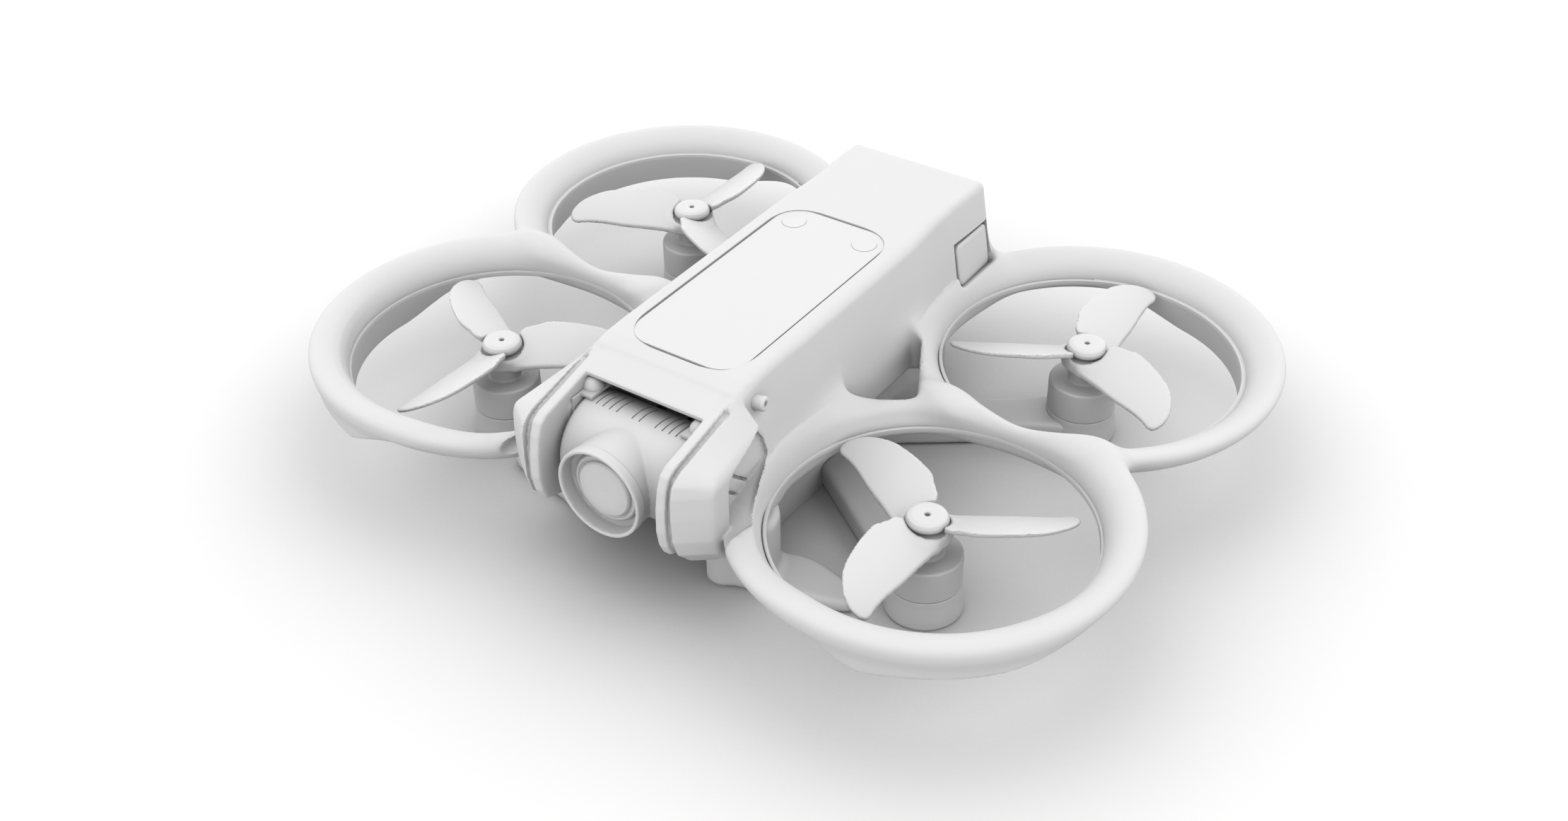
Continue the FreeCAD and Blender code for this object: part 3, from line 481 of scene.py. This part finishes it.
# the guard's width at the nose and further back, and the height where its top meets that width
GUARD_EDGE_Y = [-80, -57]
GUARD_EDGE_X = [31.4, 29.4]
GUARD_SHOULDER = 20.6
GUARD_ROOT = 22.1
GUARD_SLANT = 0.774
GUARD_REAR = [(-110, 60), (-56.4, 60), (-56.4, 21.9), (-61.5, 20.7), (-66.0, 19.8), (-70.9, 18.8),
              (-73.3, 16.8), (-73.7, 14.5), (-73.9, -2), (-78, -9), (-110, -12)]
# the joint between the plate and the guard
PLATE_MIDDLE, PLATE_HALF = 20.0, 1.8
GROOVE_MIDDLE, GROOVE_HALF = 22.0, 0.75
GROOVE = [(-61.5, 40), (-61.5, 26.9), (-66.3, 25.6), (-80, 22.2), (-83.6, 20.6), (-84.8, 17.6),
          (-85.6, 12.5), (-85.9, 6), (-85.2, 1.6), (-83.9, -1.0), (-81, -3.6), (-79, -20),
          (-120, -20), (-120, 40)]


def nose_field(x, y, z):
    """The hood over the camera, the plates beside it and the cheek guards outside them."""
    hood = overlap(polygon(y, z, HOOD), x - 18.6, 0.4)
    plate = round_overlap(polygon(y, z, PLATE), np.abs(x - PLATE_MIDDLE) - PLATE_HALF, 0.7)
    out = np.maximum(x - GUARD_ROOT, -1)
    front = polygon(y - GUARD_SLANT * out, z, GUARD_FRONT) * 0.8
    crest = np.interp(y, GUARD_TOP_Y, GUARD_TOP_Z)
    edge = np.interp(y, GUARD_EDGE_Y, GUARD_EDGE_X)
    top = (z - crest + (crest - GUARD_SHOULDER) * out / (edge - GUARD_ROOT)) * 0.78
    guard = round_overlap(front, x - edge, 0.7)
    guard = round_overlap(guard, top, 1.8)
    guard = round_overlap(guard, PLATE_MIDDLE + PLATE_HALF - 0.2 - x, 0.4)
    guard = round_overlap(guard, polygon(y, z, GUARD_REAR), 0.5)
    nose = union(union(hood, plate, 0.6), guard, 0.4)
    groove = np.maximum(np.abs(x - GROOVE_MIDDLE) - GROOVE_HALF, polygon(y, z, GROOVE))
    return carve(nose, groove, 0.9)


# the triangular window beside the fuselage, in plan
WINDOW = [(27.4, -13.6), (40.2, -4.7), (28.6, 16.4)]
# the opening behind a cheek guard, seen from the side, and the two grooves across its floor
OPENING = [(-57.5, 22.0), (-54.4, 18.8), (-52.0, 15.0), (-51.2, 10.0), (-54.6, 7.8), (-61.0, 5.8),
           (-66.0, 4.4), (-84.0, 2.6), (-84.0, 22.0)]
FLOOR_GROOVES = [((-71.1, 16.9), (-61.0, 7.9)), ((-71.7, 11.6), (-67.7, 8.2))]
FLOOR_X, FLOOR_LEAN = 25.6, 0.16
FLOOR_GROOVE_HALF, FLOOR_GROOVE_DEPTH = 0.4, 1.2
# the opening stops at this distance from the mirror plane and stays inside the duct's mouth
OPENING_OUT = 35.5
OPENING_REACH = 43.8


def cheek_field(x, y, z):
    """The part of the frame behind a cheek guard, which runs on into the front duct's mouth."""
    radius, _ = about_duct(x, y, "front")
    cone = (4 * (43.2 - radius) + z - 6) * 0.242
    cheek = round_overlap(cone, np.abs(y + 61.0) - 13.0, 2.0)
    cheek = round_overlap(cheek, np.abs(z - 8.0) - 13.0, 2.0)
    return round_overlap(cheek, x - 30.5, 1.5)


def opening_field(x, y, z):
    """The opening behind a cheek guard, down to its floor and the grooves in that."""
    floor_depth = FLOOR_X - FLOOR_LEAN * np.clip(z - 9.0, 0, 12)
    opening = round_overlap(polygon(y, z, OPENING), floor_depth - x, 0.3)
    for (ay, az), (by, bz) in FLOOR_GROOVES:
        long = math.hypot(by - ay, bz - az)
        beside = np.abs((y - ay) * (bz - az) - (z - az) * (by - ay)) / long
        groove = np.maximum(beside - FLOOR_GROOVE_HALF, floor_depth - FLOOR_GROOVE_DEPTH - x)
        opening = np.minimum(opening, np.maximum(groove, polygon(y, z, OPENING)))
    radius, _ = about_duct(x, y, "front")
    return round_overlap(opening, np.maximum(x - OPENING_OUT, OPENING_REACH - radius), 1.5)


# a latch button's pocket, across and up the side wall, and its ends fore and aft of the button
LATCH_POCKET = [(-3.6, -6.6), (3.0, -6.6), (3.0, 7.6), (-3.6, 7.6)]
LATCH_ENDS = (-9.4, 8.6)
# the scoop outside it: where it starts outwards, its floor and the floor's rise
SCOOP_START = 2.6
SCOOP_FLOOR = 6.2
SCOOP_RISE = 0.8


def latch_pocket(side):
    """The button's pocket, square to the sloping side wall."""
    points, faces = prism(LATCH_POCKET, *LATCH_ENDS)
    spot = middle("latch_button_right")
    lean = math.radians(WALL_TILT)
    placed = [(side * (spot.x + x * math.cos(lean) - z * math.sin(lean)), spot.y + y,
               spot.z - LIP + x * math.sin(lean) + z * math.cos(lean)) for x, z, y in points]
    return placed, faces


def latch_scoop_field(x, y, z):
    """Clears the rim's blend away from a latch button, with a floor that rises outwards."""
    spot = middle("latch_button_right")
    lean = math.radians(WALL_TILT)
    out = (x - spot.x) * math.cos(lean) + (z - spot.z + LIP) * math.sin(lean) - SCOOP_START
    up = (z - spot.z + LIP) * math.cos(lean) - (x - spot.x) * math.sin(lean)
    floor = -(up + SCOOP_FLOOR - SCOOP_RISE * out) * 0.78
    scoop = round_overlap(floor, np.abs(y - spot.y + 0.4) - 9.0, 1.5)
    return round_overlap(scoop, -out, 0.3)


# the camera's bay under the hood
BAY_HALF = 18.1
BAY_REAR = -52.0
BAY_TOP = 27.0


def airframe_field(x, y, z):
    """The whole moulded frame but for its crisp cuts."""
    x = np.abs(x)
    rims = union(rim_field(x, y, z, "front"), rim_field(x, y, z, "rear"), 7.0)
    fuselage = fuselage_field(x, y, z)
    body = union(fuselage, rims, 9.0)
    body = round_overlap(body, 2.0 - polygon(x, y, WINDOW), 1.2)
    body = union(body, fuselage, 1.0)
    body = union(body, cheek_field(x, y, z), 4.0)
    body = carve(body, throat_field(x, y, z, "front"), 3.0)
    body = carve(body, throat_field(x, y, z, "rear"), 3.0)
    body = carve(body, opening_field(x, y, z), 0.4)
    body = carve(body, latch_scoop_field(x, y, z), 1.6)
    bay = np.maximum(np.maximum(x - BAY_HALF, y - BAY_REAR), z - BAY_TOP)
    body = carve(body, bay, 0.3)
    return union(body, nose_field(x, y, z), 0.8)


# the deep inner wall: how far it reaches down, the share of it over which each end fades, and
# its start and sweep in degrees round the right duct
WALL_REACH = 6.8
WALL_FADE = 0.24
WALL_SWEEPS = {"front": (-110, 150), "rear": (-58, 173)}
LIP_SECTION = [(40.9, -1.0), (41.9, -1.0), (41.9, 0.6), (40.9, 0.6)]
WALL_SECTION = [(40.95, -1.2), (42.3, -1.2), (42.3, 0.6), (40.95, 0.6)]
# the roof panel's recess in plan, and the battery's tunnel from its low to its high corner
PANEL_BAY = [(-17.8, -53.5), (17.8, -53.5), (17.8, 24.7), (-17.8, 24.7)]
PANEL_DEPTH = 1.2
TUNNEL = ((-18, 0, 3.6), (18, 70, 27.4))


def wall_drop(share):
    """How far the deep inner wall reaches down, fading out in an S at both its ends."""
    ends = min(share, 1 - share) / WALL_FADE
    return WALL_REACH * ease(min(max(ends, 0), 1))


def airframe():
    xs = stops((0, 14, COARSE), (14, 33, FINE), (33, 124, COARSE))
    xs = np.concatenate([-xs[:0:-1], xs])
    ys = stops((-97, -50, MEDIUM), (-50, 97, COARSE))
    zs = stops((-8, 33, MEDIUM))
    mesh = field_mesh("airframe", airframe_field, xs, ys, zs, mirrored=True)
    shell = link("airframe_shell_skin", mesh, "frame")
    lip = rounded(LIP_SECTION, 0.25, 2)
    wall = rounded(WALL_SECTION, 0.25, 2)
    for end, (x, y) in DUCTS.items():
        for side in (-1, 1):
            boolean(shell, *lathe(lip, (x * side, y), segments=160), "UNION")
            start, sweep = WALL_SWEEPS[end]
            start = start if side > 0 else 180 - start - sweep
            boolean(shell, *lathe(wall, (x * side, y), start, sweep, 60, wall_drop), "UNION")
    panel_bay = rounded(PANEL_BAY, 11.7, 12)
    boolean(shell, *prism(panel_bay, ROOF - PANEL_DEPTH, ROOF + 3), "DIFFERENCE")
    boolean(shell, *block(*TUNNEL), "DIFFERENCE")
    for side in (-1, 1):
        boolean(shell, *latch_pocket(side), "DIFFERENCE")
    finish_mesh(shell.data, 35)
    dress(shell, "frame_plastic", "airframe_shell", "nose_plate_left", "nose_plate_right",
          "cheek_guard_left", "cheek_guard_right")


# ---- propellers, caps and motors ----

# outline of one blade: distance along it, and across it against the turn; its lean in degrees at
# distances along it; and where its middle stands
BLADE = corner_cut([(3.0, 5.8), (8.5, 5.2), (13.0, 4.6), (20.0, 4.2), (28.0, 3.0), (33.0, 2.8),
                    (36.2, 3.2), (37.8, 2.0), (37.7, -0.6), (36.4, -2.8), (34.2, -5.0),
                    (31.0, -7.0), (27.0, -8.5), (21.0, -9.2), (14.0, -9.3), (10.8, -8.9),
                    (8.6, -7.6), (3.0, -5.8)], 2)
BLADE_LEAN_AT = [6, 22, 38]
BLADE_LEAN = [22.5, 19, 17.5]
BLADE_RISE = 1.4
BLADE_BOW = 0.7
BLADE_ANGLES = {"front_right": 34, "front_left": 146, "rear_right": 88, "rear_left": 92}
# the hub's half thickness and middle height, and the well in its top for the cap
HUB_RADIUS = 6.7
HUB_HALF, HUB_MIDDLE = 1.75, -0.45
WELL_RADIUS, WELL_FLOOR = 5.9, 1.1


def blade_field(x, y, z, degrees):
    """One blade, a leaning sheet that thins and bows towards its tip."""
    angle = math.radians(degrees)
    along = x * math.cos(angle) + y * math.sin(angle)
    across = y * math.cos(angle) - x * math.sin(angle)
    lean = np.tan(np.radians(np.interp(along, BLADE_LEAN_AT, BLADE_LEAN)))
    bow = BLADE_BOW * (1 - ((across + 5.5) / 9) ** 2)
    height = BLADE_RISE - across * lean + bow * np.clip(along / 20, 0, 1)
    thick = 0.85 - 0.35 * np.clip(along / 38, 0, 1)
    sheet = (np.abs(z - height) - thick) * 0.93
    return round_overlap(polygon(along, across, BLADE), sheet, 0.35)


def propeller_field(x, y, z):
    radius = np.hypot(x, y)
    hub = round_overlap(radius - HUB_RADIUS, np.abs(z - HUB_MIDDLE) - HUB_HALF, 0.9)
    blades = blade_field(x, y, z, 0)
    for degrees in (120, 240):
        blades = np.minimum(blades, blade_field(x, y, z, degrees))
    whole = union(hub, blades, 2.6)
    well = np.maximum(radius - WELL_RADIUS, WELL_FLOOR - z)
    return carve(whole, well, 0.3)


def propellers():
    line = stops((-40.2, 40.2, 0.6))
    heights = stops((-6.0, 8.4, 0.36))
    points, faces = net(propeller_field, line, line, heights)
    points = settle(propeller_field, points)
    for corner, (side, end) in CORNERS.items():
        hand = side * end
        turn = math.radians(BLADE_ANGLES[corner])
        spot = HUBS[corner]
        x, y, z = (points * (1, -hand, 1)).T
        spun = np.stack([x * math.cos(turn) - y * math.sin(turn) + spot.x,
                         x * math.sin(turn) + y * math.cos(turn) + spot.y, z], 1)
        mesh = make_mesh("propeller", spun, faces, 60)
        prop = link("propeller_skin_" + corner, mesh, "rotor_" + corner)
        dress(prop, "prop_plastic", "propeller_" + corner)


# sections of the turned pieces: radius and height
CAP = [(0.7, 4.0), (0.7, 4.55), (1.0, 4.75), (3.9, 4.8), (5.0, 4.45), (5.5, 3.6), (5.5, 2.9),
       (5.1, 2.2), (4.1, 1.9), (3.8, 1.2), (0.7, 1.2)]
BELL = [(0.5, -2.3), (4.7, -2.3), (4.75, -3.4), (4.4, -6.0), (4.5, -6.8), (5.0, -7.0), (9.1, -7.0),
        (9.5, -7.25), (9.6, -7.7), (9.6, -16.1), (9.45, -16.3), (8.6, -16.3), (8.6, -9.0),
        (0.5, -9.0)]
BASE = [(0.5, -16.4), (9.5, -16.4), (9.65, -16.6), (9.75, -18.5), (10.0, -20.5), (10.2, -22.5),
        (10.25, -24.4), (9.8, -25.25), (0.5, -25.25)]


def turned_piece(kind, corner, profile, body, slot):
    """A piece turned about the middle of the CAD piece that it stands for."""
    node = kind + "_" + corner
    name = kind + "_skin_" + corner
    spot = middle(node)
    points, faces = lathe(rounded(profile, 0.22, 3), (spot.x, spot.y), segments=96)
    piece = link(name, make_mesh(name, points, faces, 35), body)
    dress(piece, slot, node)


def motors():
    for corner in CORNERS:
        rotor = "rotor_" + corner
        turned_piece("prop_cap", corner, CAP, rotor, "prop_plastic")
        turned_piece("motor_bell", corner, BELL, rotor, "motor_metal")
        turned_piece("motor_base", corner, BASE, "frame", "motor_metal")


# ---- camera ----

DRUM_RADIUS = 13.0
DRUM_HALF = 17.0
BARREL_RADIUS = 12.0
BARREL_SPREAD = 0.4
BORE_RADIUS = 11.5
BORE_DEPTH = 4.4
LENS_OUT = AXLE_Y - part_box("lens_ring")[0].y / MM
# the cooling slots on the drum: where they stand, their half width, and their ends
VENT_HALF = 0.17
VENT_Y = (-1.9, 6.5)
VENT_Z = (10.9, 15)
VENT_SPOTS = (-12.4, -10.3, -8.2, -6.0, -1.1, 1.1, 6.0, 8.2, 10.3, 12.4)


def camera_field(x, y, z):
    """The tilting drum with the lens barrel growing out of it through a soft fillet."""
    x = np.abs(x)
    drum = round_overlap(np.hypot(y - AXLE_Y, z - AXLE_Z) - DRUM_RADIUS, x - DRUM_HALF, 1.6)
    out = AXLE_Y - y
    barrel = np.hypot(x, z - AXLE_Z) - BARREL_RADIUS - BARREL_SPREAD * np.clip(out / LENS_OUT, 0, 1)
    barrel = round_overlap(barrel, out - LENS_OUT + 0.2, 0.3)
    barrel = np.maximum(barrel, -out)
    whole = union(drum, barrel, 0.5)
    bore = np.maximum(np.hypot(x, z - AXLE_Z) - BORE_RADIUS, LENS_OUT - BORE_DEPTH - out)
    return carve(whole, bore, 0.2)


# sections of the lens ring and glass: radius, and distance out from the tilt axle
RING = [(11.5, 15.2), (12.4, 15.2), (12.6, 15.6), (12.6, 17.7), (12.45, 18.1), (12.1, 18.2),
        (11.75, 18.1), (11.55, 17.7), (11.5, 15.6)]
GLASS = [(0.05, 13.9), (9.7, 13.9), (9.7, 14.5), (9.2, 15.0), (8.6, 15.1), (8.4, 14.8),
         (8.1, 14.8), (7.9, 15.4), (7.4, 15.9), (5.5, 16.1), (0.05, 16.2)]


def camera_pieces():
    xs = stops((-17.8, 17.8, 0.5))
    ys = stops((AXLE_Y - LENS_OUT - 1, AXLE_Y + 14, FINE))
    zs = stops((AXLE_Z - 14, AXLE_Z + 14, FINE))
    drum = link("camera_drum_skin", field_mesh("camera", camera_field, xs, ys, zs, 40), "camera")
    for x in VENT_SPOTS:
        vent = block(*((x + side * VENT_HALF, AXLE_Y + y, AXLE_Z + z)
                       for side, y, z in zip((-1, 1), VENT_Y, VENT_Z)))
        boolean(drum, *vent, "DIFFERENCE")
    finish_mesh(drum.data, 40)
    dress(drum, "camera_shell", "camera_drum", "lens_barrel")
    for node, profile, slot in (("lens_ring", RING, "camera_shell"),
                                ("lens_glass", GLASS, "lens_glass")):
        name = node + "_skin"
        points, faces = lathe(rounded(profile, 0.12, 3))
        piece = link(name, make_mesh(name, about_lens(points), faces, 35), "camera")
        dress(piece, slot, node)


# a damper ball's section, and where it stands
BALL = [(0.05, 25.2), (1.2, 25.0), (2.2, 24.3), (2.8, 23.2), (2.9, 22.4), (2.5, 21.7),
        (0.05, 21.7)]
BALL_X = 16.8
BALL_BACK = 1.4


def damper_balls():
    y = middle("damper_balls").y + BALL_BACK
    parts = [lathe(rounded(BALL, 0.5, 3), (BALL_X * side, y), segments=48) for side in (-1, 1)]
    piece = link("damper_balls_skin", make_mesh("damper_balls", *join_meshes(parts)), "frame")
    dress(piece, "soft_rubber", "damper_balls")


# the peg's section, and its turn forward and from upright in degrees
PEG_FORWARD, PEG_LEAN = 6, 84
PEG = [(0.05, -1.5), (2.0, -1.5), (2.0, 2.1), (1.6, 2.6), (0.9, 2.6), (0.7, 2.3), (0.7, 1.4),
       (0.05, 1.4)]


def peg():
    """The short hollow peg, leaning forward and up a little from the side wall."""
    low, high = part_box("side_peg")
    points, faces = lathe(rounded(PEG, 0.25, 3), segments=48)
    lean = (Matrix.Rotation(math.radians(PEG_FORWARD), 3, "Z")
            @ Matrix.Rotation(math.radians(PEG_LEAN), 3, "Y"))
    root = Vector((low.x, (low.y + high.y) / 2, (low.z + high.z) / 2)) / MM
    placed = [tuple(lean @ Vector(point) + root - Vector((0, 0, LIP))) for point in points]
    piece = link("side_peg_skin", make_mesh("peg", placed, faces), "frame")
    dress(piece, "frame_plastic", "side_peg")


# ---- undercarriage ----

# height of the ground below the duct lips, and of a foot's and its toe's top
GROUND = -25.2
FOOT_TOP = -4.0
TOE_TOP = -21.4
# a foot's outline in plan
FOOT = corner_cut([(16.6, -66.7), (19.5, -68.0), (22.7, -67.9), (27.8, -64.1), (32.4, -62.7),
                   (34.0, -60.0), (31.5, -52.0), (21.0, -46.0), (16.0, -46.0)], 2)
# the low toe of a foot, which reaches out under the duct
TOE = corner_cut([(24.0, -65.0), (33.0, -62.8), (44.0, -61.2), (52.0, -59.2), (56.0, -57.0),
                  (56.0, -52.4), (52.0, -51.0), (45.0, -48.9), (38.0, -47.6), (31.0, -49.0),
                  (24.0, -54.0)], 2)


def slab(z, low, high):
    """Distance to the space between two heights."""
    return np.abs(z - (low + high) / 2) - (high - low) / 2


def foot_field(x, y, z):
    """A front foot with softened edges, and its toe."""
    x = np.abs(x)
    foot = round_overlap(polygon(x, y, FOOT), slab(z, GROUND, FOOT_TOP), 2.2)
    toe = round_overlap(polygon(x, y, TOE), slab(z, GROUND, TOE_TOP), 1.6)
    return np.maximum(union(foot, toe, 2.5), GROUND - z)


def feet():
    xs = stops((14, 58, 0.7))
    xs = np.concatenate([-xs[::-1], xs])
    ys = stops((-70, -44, 0.7))
    zs = stops((-26.5, -2.5, 0.7))
    piece = link("front_feet_skin", field_mesh("feet", foot_field, xs, ys, zs, 60), "frame")
    dress(piece, "frame_plastic", "front_feet")


# an arm's half width and its gain at the motor, its heights, and where it leaves the belly
ARM_HALF = 6.25
ARM_GAIN = 1.6
ARM_LOW, ARM_TOP = -24.9, -17.9
ARM_ROOT = 14.0
ARM_START = 20.6


def arm_field(x, y, z, hub):
    """A flat arm with rounded edges, widening where it meets the motor."""
    root = Vector((ARM_ROOT, hub.y * 0.13))
    run = Vector((hub.x, hub.y)) - root
    length = run.length
    run.normalize()
    along = (x - root.x) * run.x + (y - root.y) * run.y
    across = (y - root.y) * run.x - (x - root.x) * run.y
    width = ARM_HALF + ARM_GAIN * np.clip((along - length + 20) / 14, 0, 1) ** 2
    bar = round_overlap(np.abs(across) - width, np.abs(along - length / 2) - length / 2, 1.5)
    bar = round_overlap(bar, slab(z, ARM_LOW, ARM_TOP), 1.3)
    return np.maximum(bar, ARM_START - x)


def arms():
    for corner, (side, end) in CORNERS.items():
        hub = Vector((abs(HUBS[corner].x), HUBS[corner].y))
        xs = stops((19, 74, 0.8))
        ys = np.sort(stops((end * 2, end * 52, 0.8)))
        zs = stops((-26.0, -16.5, 0.6))
        field = partial(arm_field, hub=hub)
        points, faces = net(field, xs, ys, zs)
        points = settle(field, points) * (side, 1, 1)
        arm = link("motor_arm_skin_" + corner, make_mesh("arm", points, faces, 60), "frame")
        dress(arm, "frame_plastic", "motor_arm_" + corner)


def soften(node, width, segments=4):
    """Rounds a kept piece's crisp edges with a bevel, leaving its mesh as it is."""
    thing = frame["nodes"][node]
    weld = thing.modifiers.new("weld", "WELD")
    weld.merge_threshold = 1e-6
    bevel = thing.modifiers.new("edges", "BEVEL")
    bevel.width = width * MM
    bevel.segments = segments
    bevel.limit_method = "ANGLE"
    bevel.angle_limit = math.radians(35)


# ---- materials ----

DRIFT_SIZE = 22
GLOSS_SWING = 0.06
BUMP_STRENGTH = 0.5


def moulded(name, tint, rough, grain=0.45, depth=0.012, drift=0.02, shadow=0.3, reach=0.03):
    """Pale moulded plastic or metal with a fine grain, in millimetres, and slow drifts of tone.

    Painted shade: corners and hollows within reach metres are darkened in the colour itself, by the
    shadow share of an occlusion pass.
    """
    material = bpy.data.materials.new(name)
    material.use_nodes = True
    tree = material.node_tree
    nodes, links = tree.nodes, tree.links
    shader = nodes["Principled BSDF"]
    place = nodes.new("ShaderNodeTexCoord")
    fine = nodes.new("ShaderNodeTexNoise")
    fine.inputs["Scale"].default_value = 1 / (grain * MM)
    fine.inputs["Detail"].default_value = 3
    links.new(place.outputs["Object"], fine.inputs["Vector"])
    slow = nodes.new("ShaderNodeTexNoise")
    slow.inputs["Scale"].default_value = 1 / (DRIFT_SIZE * MM)
    slow.inputs["Detail"].default_value = 4
    links.new(place.outputs["Object"], slow.inputs["Vector"])
    tone = nodes.new("ShaderNodeMapRange")
    tone.inputs["To Min"].default_value = 1 - drift
    tone.inputs["To Max"].default_value = 1 + drift
    links.new(slow.outputs["Fac"], tone.inputs["Value"])
    shade = nodes.new("ShaderNodeMixRGB")
    shade.blend_type = "MULTIPLY"
    shade.inputs["Fac"].default_value = 1
    shade.inputs["Color1"].default_value = (tint, tint, tint, 1)
    links.new(tone.outputs["Result"], shade.inputs["Color2"])
    # painted shade: occlusion within reach darkens the base colour by the shadow share
    hollow = nodes.new("ShaderNodeAmbientOcclusion")
    hollow.samples = 8
    hollow.inputs["Distance"].default_value = reach
    links.new(shade.outputs["Color"], hollow.inputs["Color"])
    blend = nodes.new("ShaderNodeMixRGB")
    blend.inputs["Fac"].default_value = shadow
    links.new(shade.outputs["Color"], blend.inputs["Color1"])
    links.new(hollow.outputs["Color"], blend.inputs["Color2"])
    links.new(blend.outputs["Color"], shader.inputs["Base Color"])
    gloss = nodes.new("ShaderNodeMapRange")
    gloss.inputs["To Min"].default_value = rough - GLOSS_SWING
    gloss.inputs["To Max"].default_value = rough + GLOSS_SWING
    links.new(fine.outputs["Fac"], gloss.inputs["Value"])
    links.new(gloss.outputs["Result"], shader.inputs["Roughness"])
    bump = nodes.new("ShaderNodeBump")
    bump.inputs["Strength"].default_value = BUMP_STRENGTH
    bump.inputs["Distance"].default_value = depth * MM
    links.new(fine.outputs["Fac"], bump.inputs["Height"])
    links.new(bump.outputs["Normal"], shader.inputs["Normal"])
    return material


def paint(thing, material):
    thing.data.materials.clear()
    thing.data.materials.append(material)


# the white finish's own lightness, and each slot's share of it and roughness
CLAY = 0.335
SLOT_LOOKS = {
    "frame_plastic": (1.0, 0.62), "panel_plastic": (1.0, 0.5), "camera_shell": (0.97, 0.6),
    "battery_plastic": (0.99, 0.6), "prop_plastic": (1.0, 0.45), "lens_glass": (1.0, 0.35),
    "lens_parts": (0.95, 0.5), "bracket_metal": (0.96, 0.5), "motor_metal": (0.95, 0.5),
    "shaft_steel": (0.93, 0.4), "screw_steel": (0.95, 0.45), "spring_steel": (0.9, 0.4),
    "soft_rubber": (0.97, 0.8), "copper_winding": (0.9, 0.6), "contact_metal": (0.9, 0.4),
    "cell_foil": (0.95, 0.5), "circuit_board": (0.9, 0.6), "sink_metal": (0.95, 0.5),
    "ribbon_film": (0.93, 0.6),
}
looks = {}
# each slot's colour carries painted shade in its corners and hollows, from moulded's shadow and
# reach
for slot_name, (tone, rough) in SLOT_LOOKS.items():
    looks[slot_name] = moulded(slot_name + "_look", CLAY * tone, rough)


# ---- stage ----

FLOOR_REACH = 3.0
FLOOR_TINT = 0.44
SKY_STRENGTH = 2.4


def floor():
    mesh = bpy.data.meshes.new("floor")
    edges = [(-1, -1), (1, -1), (1, 1), (-1, 1)]
    mesh.from_pydata([(x * FLOOR_REACH, y * FLOOR_REACH, 0) for x, y in edges], [], [(0, 1, 2, 3)])
    thing = bpy.data.objects.new("floor", mesh)
    bpy.context.scene.collection.objects.link(thing)
    # painted shadow: occlusion within reach darkens the floor's colour round and under the drone
    look = moulded("floor_look", FLOOR_TINT, 0.95, grain=3.0, depth=0.004, drift=0.004,
                   shadow=0.5, reach=0.22)
    paint(thing, look)


def world():
    made = bpy.data.worlds.new("studio")
    made.use_nodes = True
    background = made.node_tree.nodes["Background"]
    background.inputs["Color"].default_value = (1, 1, 1, 1)
    background.inputs["Strength"].default_value = SKY_STRENGTH
    bpy.context.scene.world = made
    bpy.context.scene.view_settings.view_transform = "Standard"


# the viewpoint: its turn round the object, height of view and roll in degrees, its place above
# the lip plane in millimetres, and its lens
VIEW_ANGLES = (34.62, 36.54, -0.72)
VIEWPOINT = (235.4, -346.5, 291.3)
SENSOR_WIDTH = 36
FOCAL_LENGTH = 41.95


def camera():
    azimuth, elevation, roll = (math.radians(angle) for angle in VIEW_ANGLES)
    right = Vector((math.cos(azimuth), math.sin(azimuth), 0))
    ahead = Vector((-math.sin(azimuth) * math.cos(elevation),
                    math.cos(azimuth) * math.cos(elevation), -math.sin(elevation)))
    up = right.cross(ahead)
    turned_right = right * math.cos(roll) + up * math.sin(roll)
    turned_up = up * math.cos(roll) - right * math.sin(roll)
    data = bpy.data.cameras.new("camera")
    data.sensor_width = SENSOR_WIDTH
    data.lens = FOCAL_LENGTH
    thing = bpy.data.objects.new("camera", data)
    bpy.context.scene.collection.objects.link(thing)
    columns = Matrix((turned_right, turned_up, -ahead)).transposed()
    place = (Vector(VIEWPOINT) + Vector((0, 0, LIP))) * MM
    thing.matrix_world = Matrix.Translation(place) @ columns.to_4x4()
    bpy.context.scene.camera = thing


SLOT_OF = {part["node"]: part["material_slot"] for part in frame["record"]["subparts"]}
for name, thing in frame["nodes"].items():
    paint(thing, looks[SLOT_OF[name]])
airframe()
propellers()
motors()
camera_pieces()
damper_balls()
peg()
feet()
arms()
for name in ("latch_button_left", "latch_button_right"):
    soften(name, 1.6)
for name in ("belly_shell", "top_panel", "battery_end_cap", "power_button"):
    soften(name, 0.3, segments=3)
floor()
world()
camera()
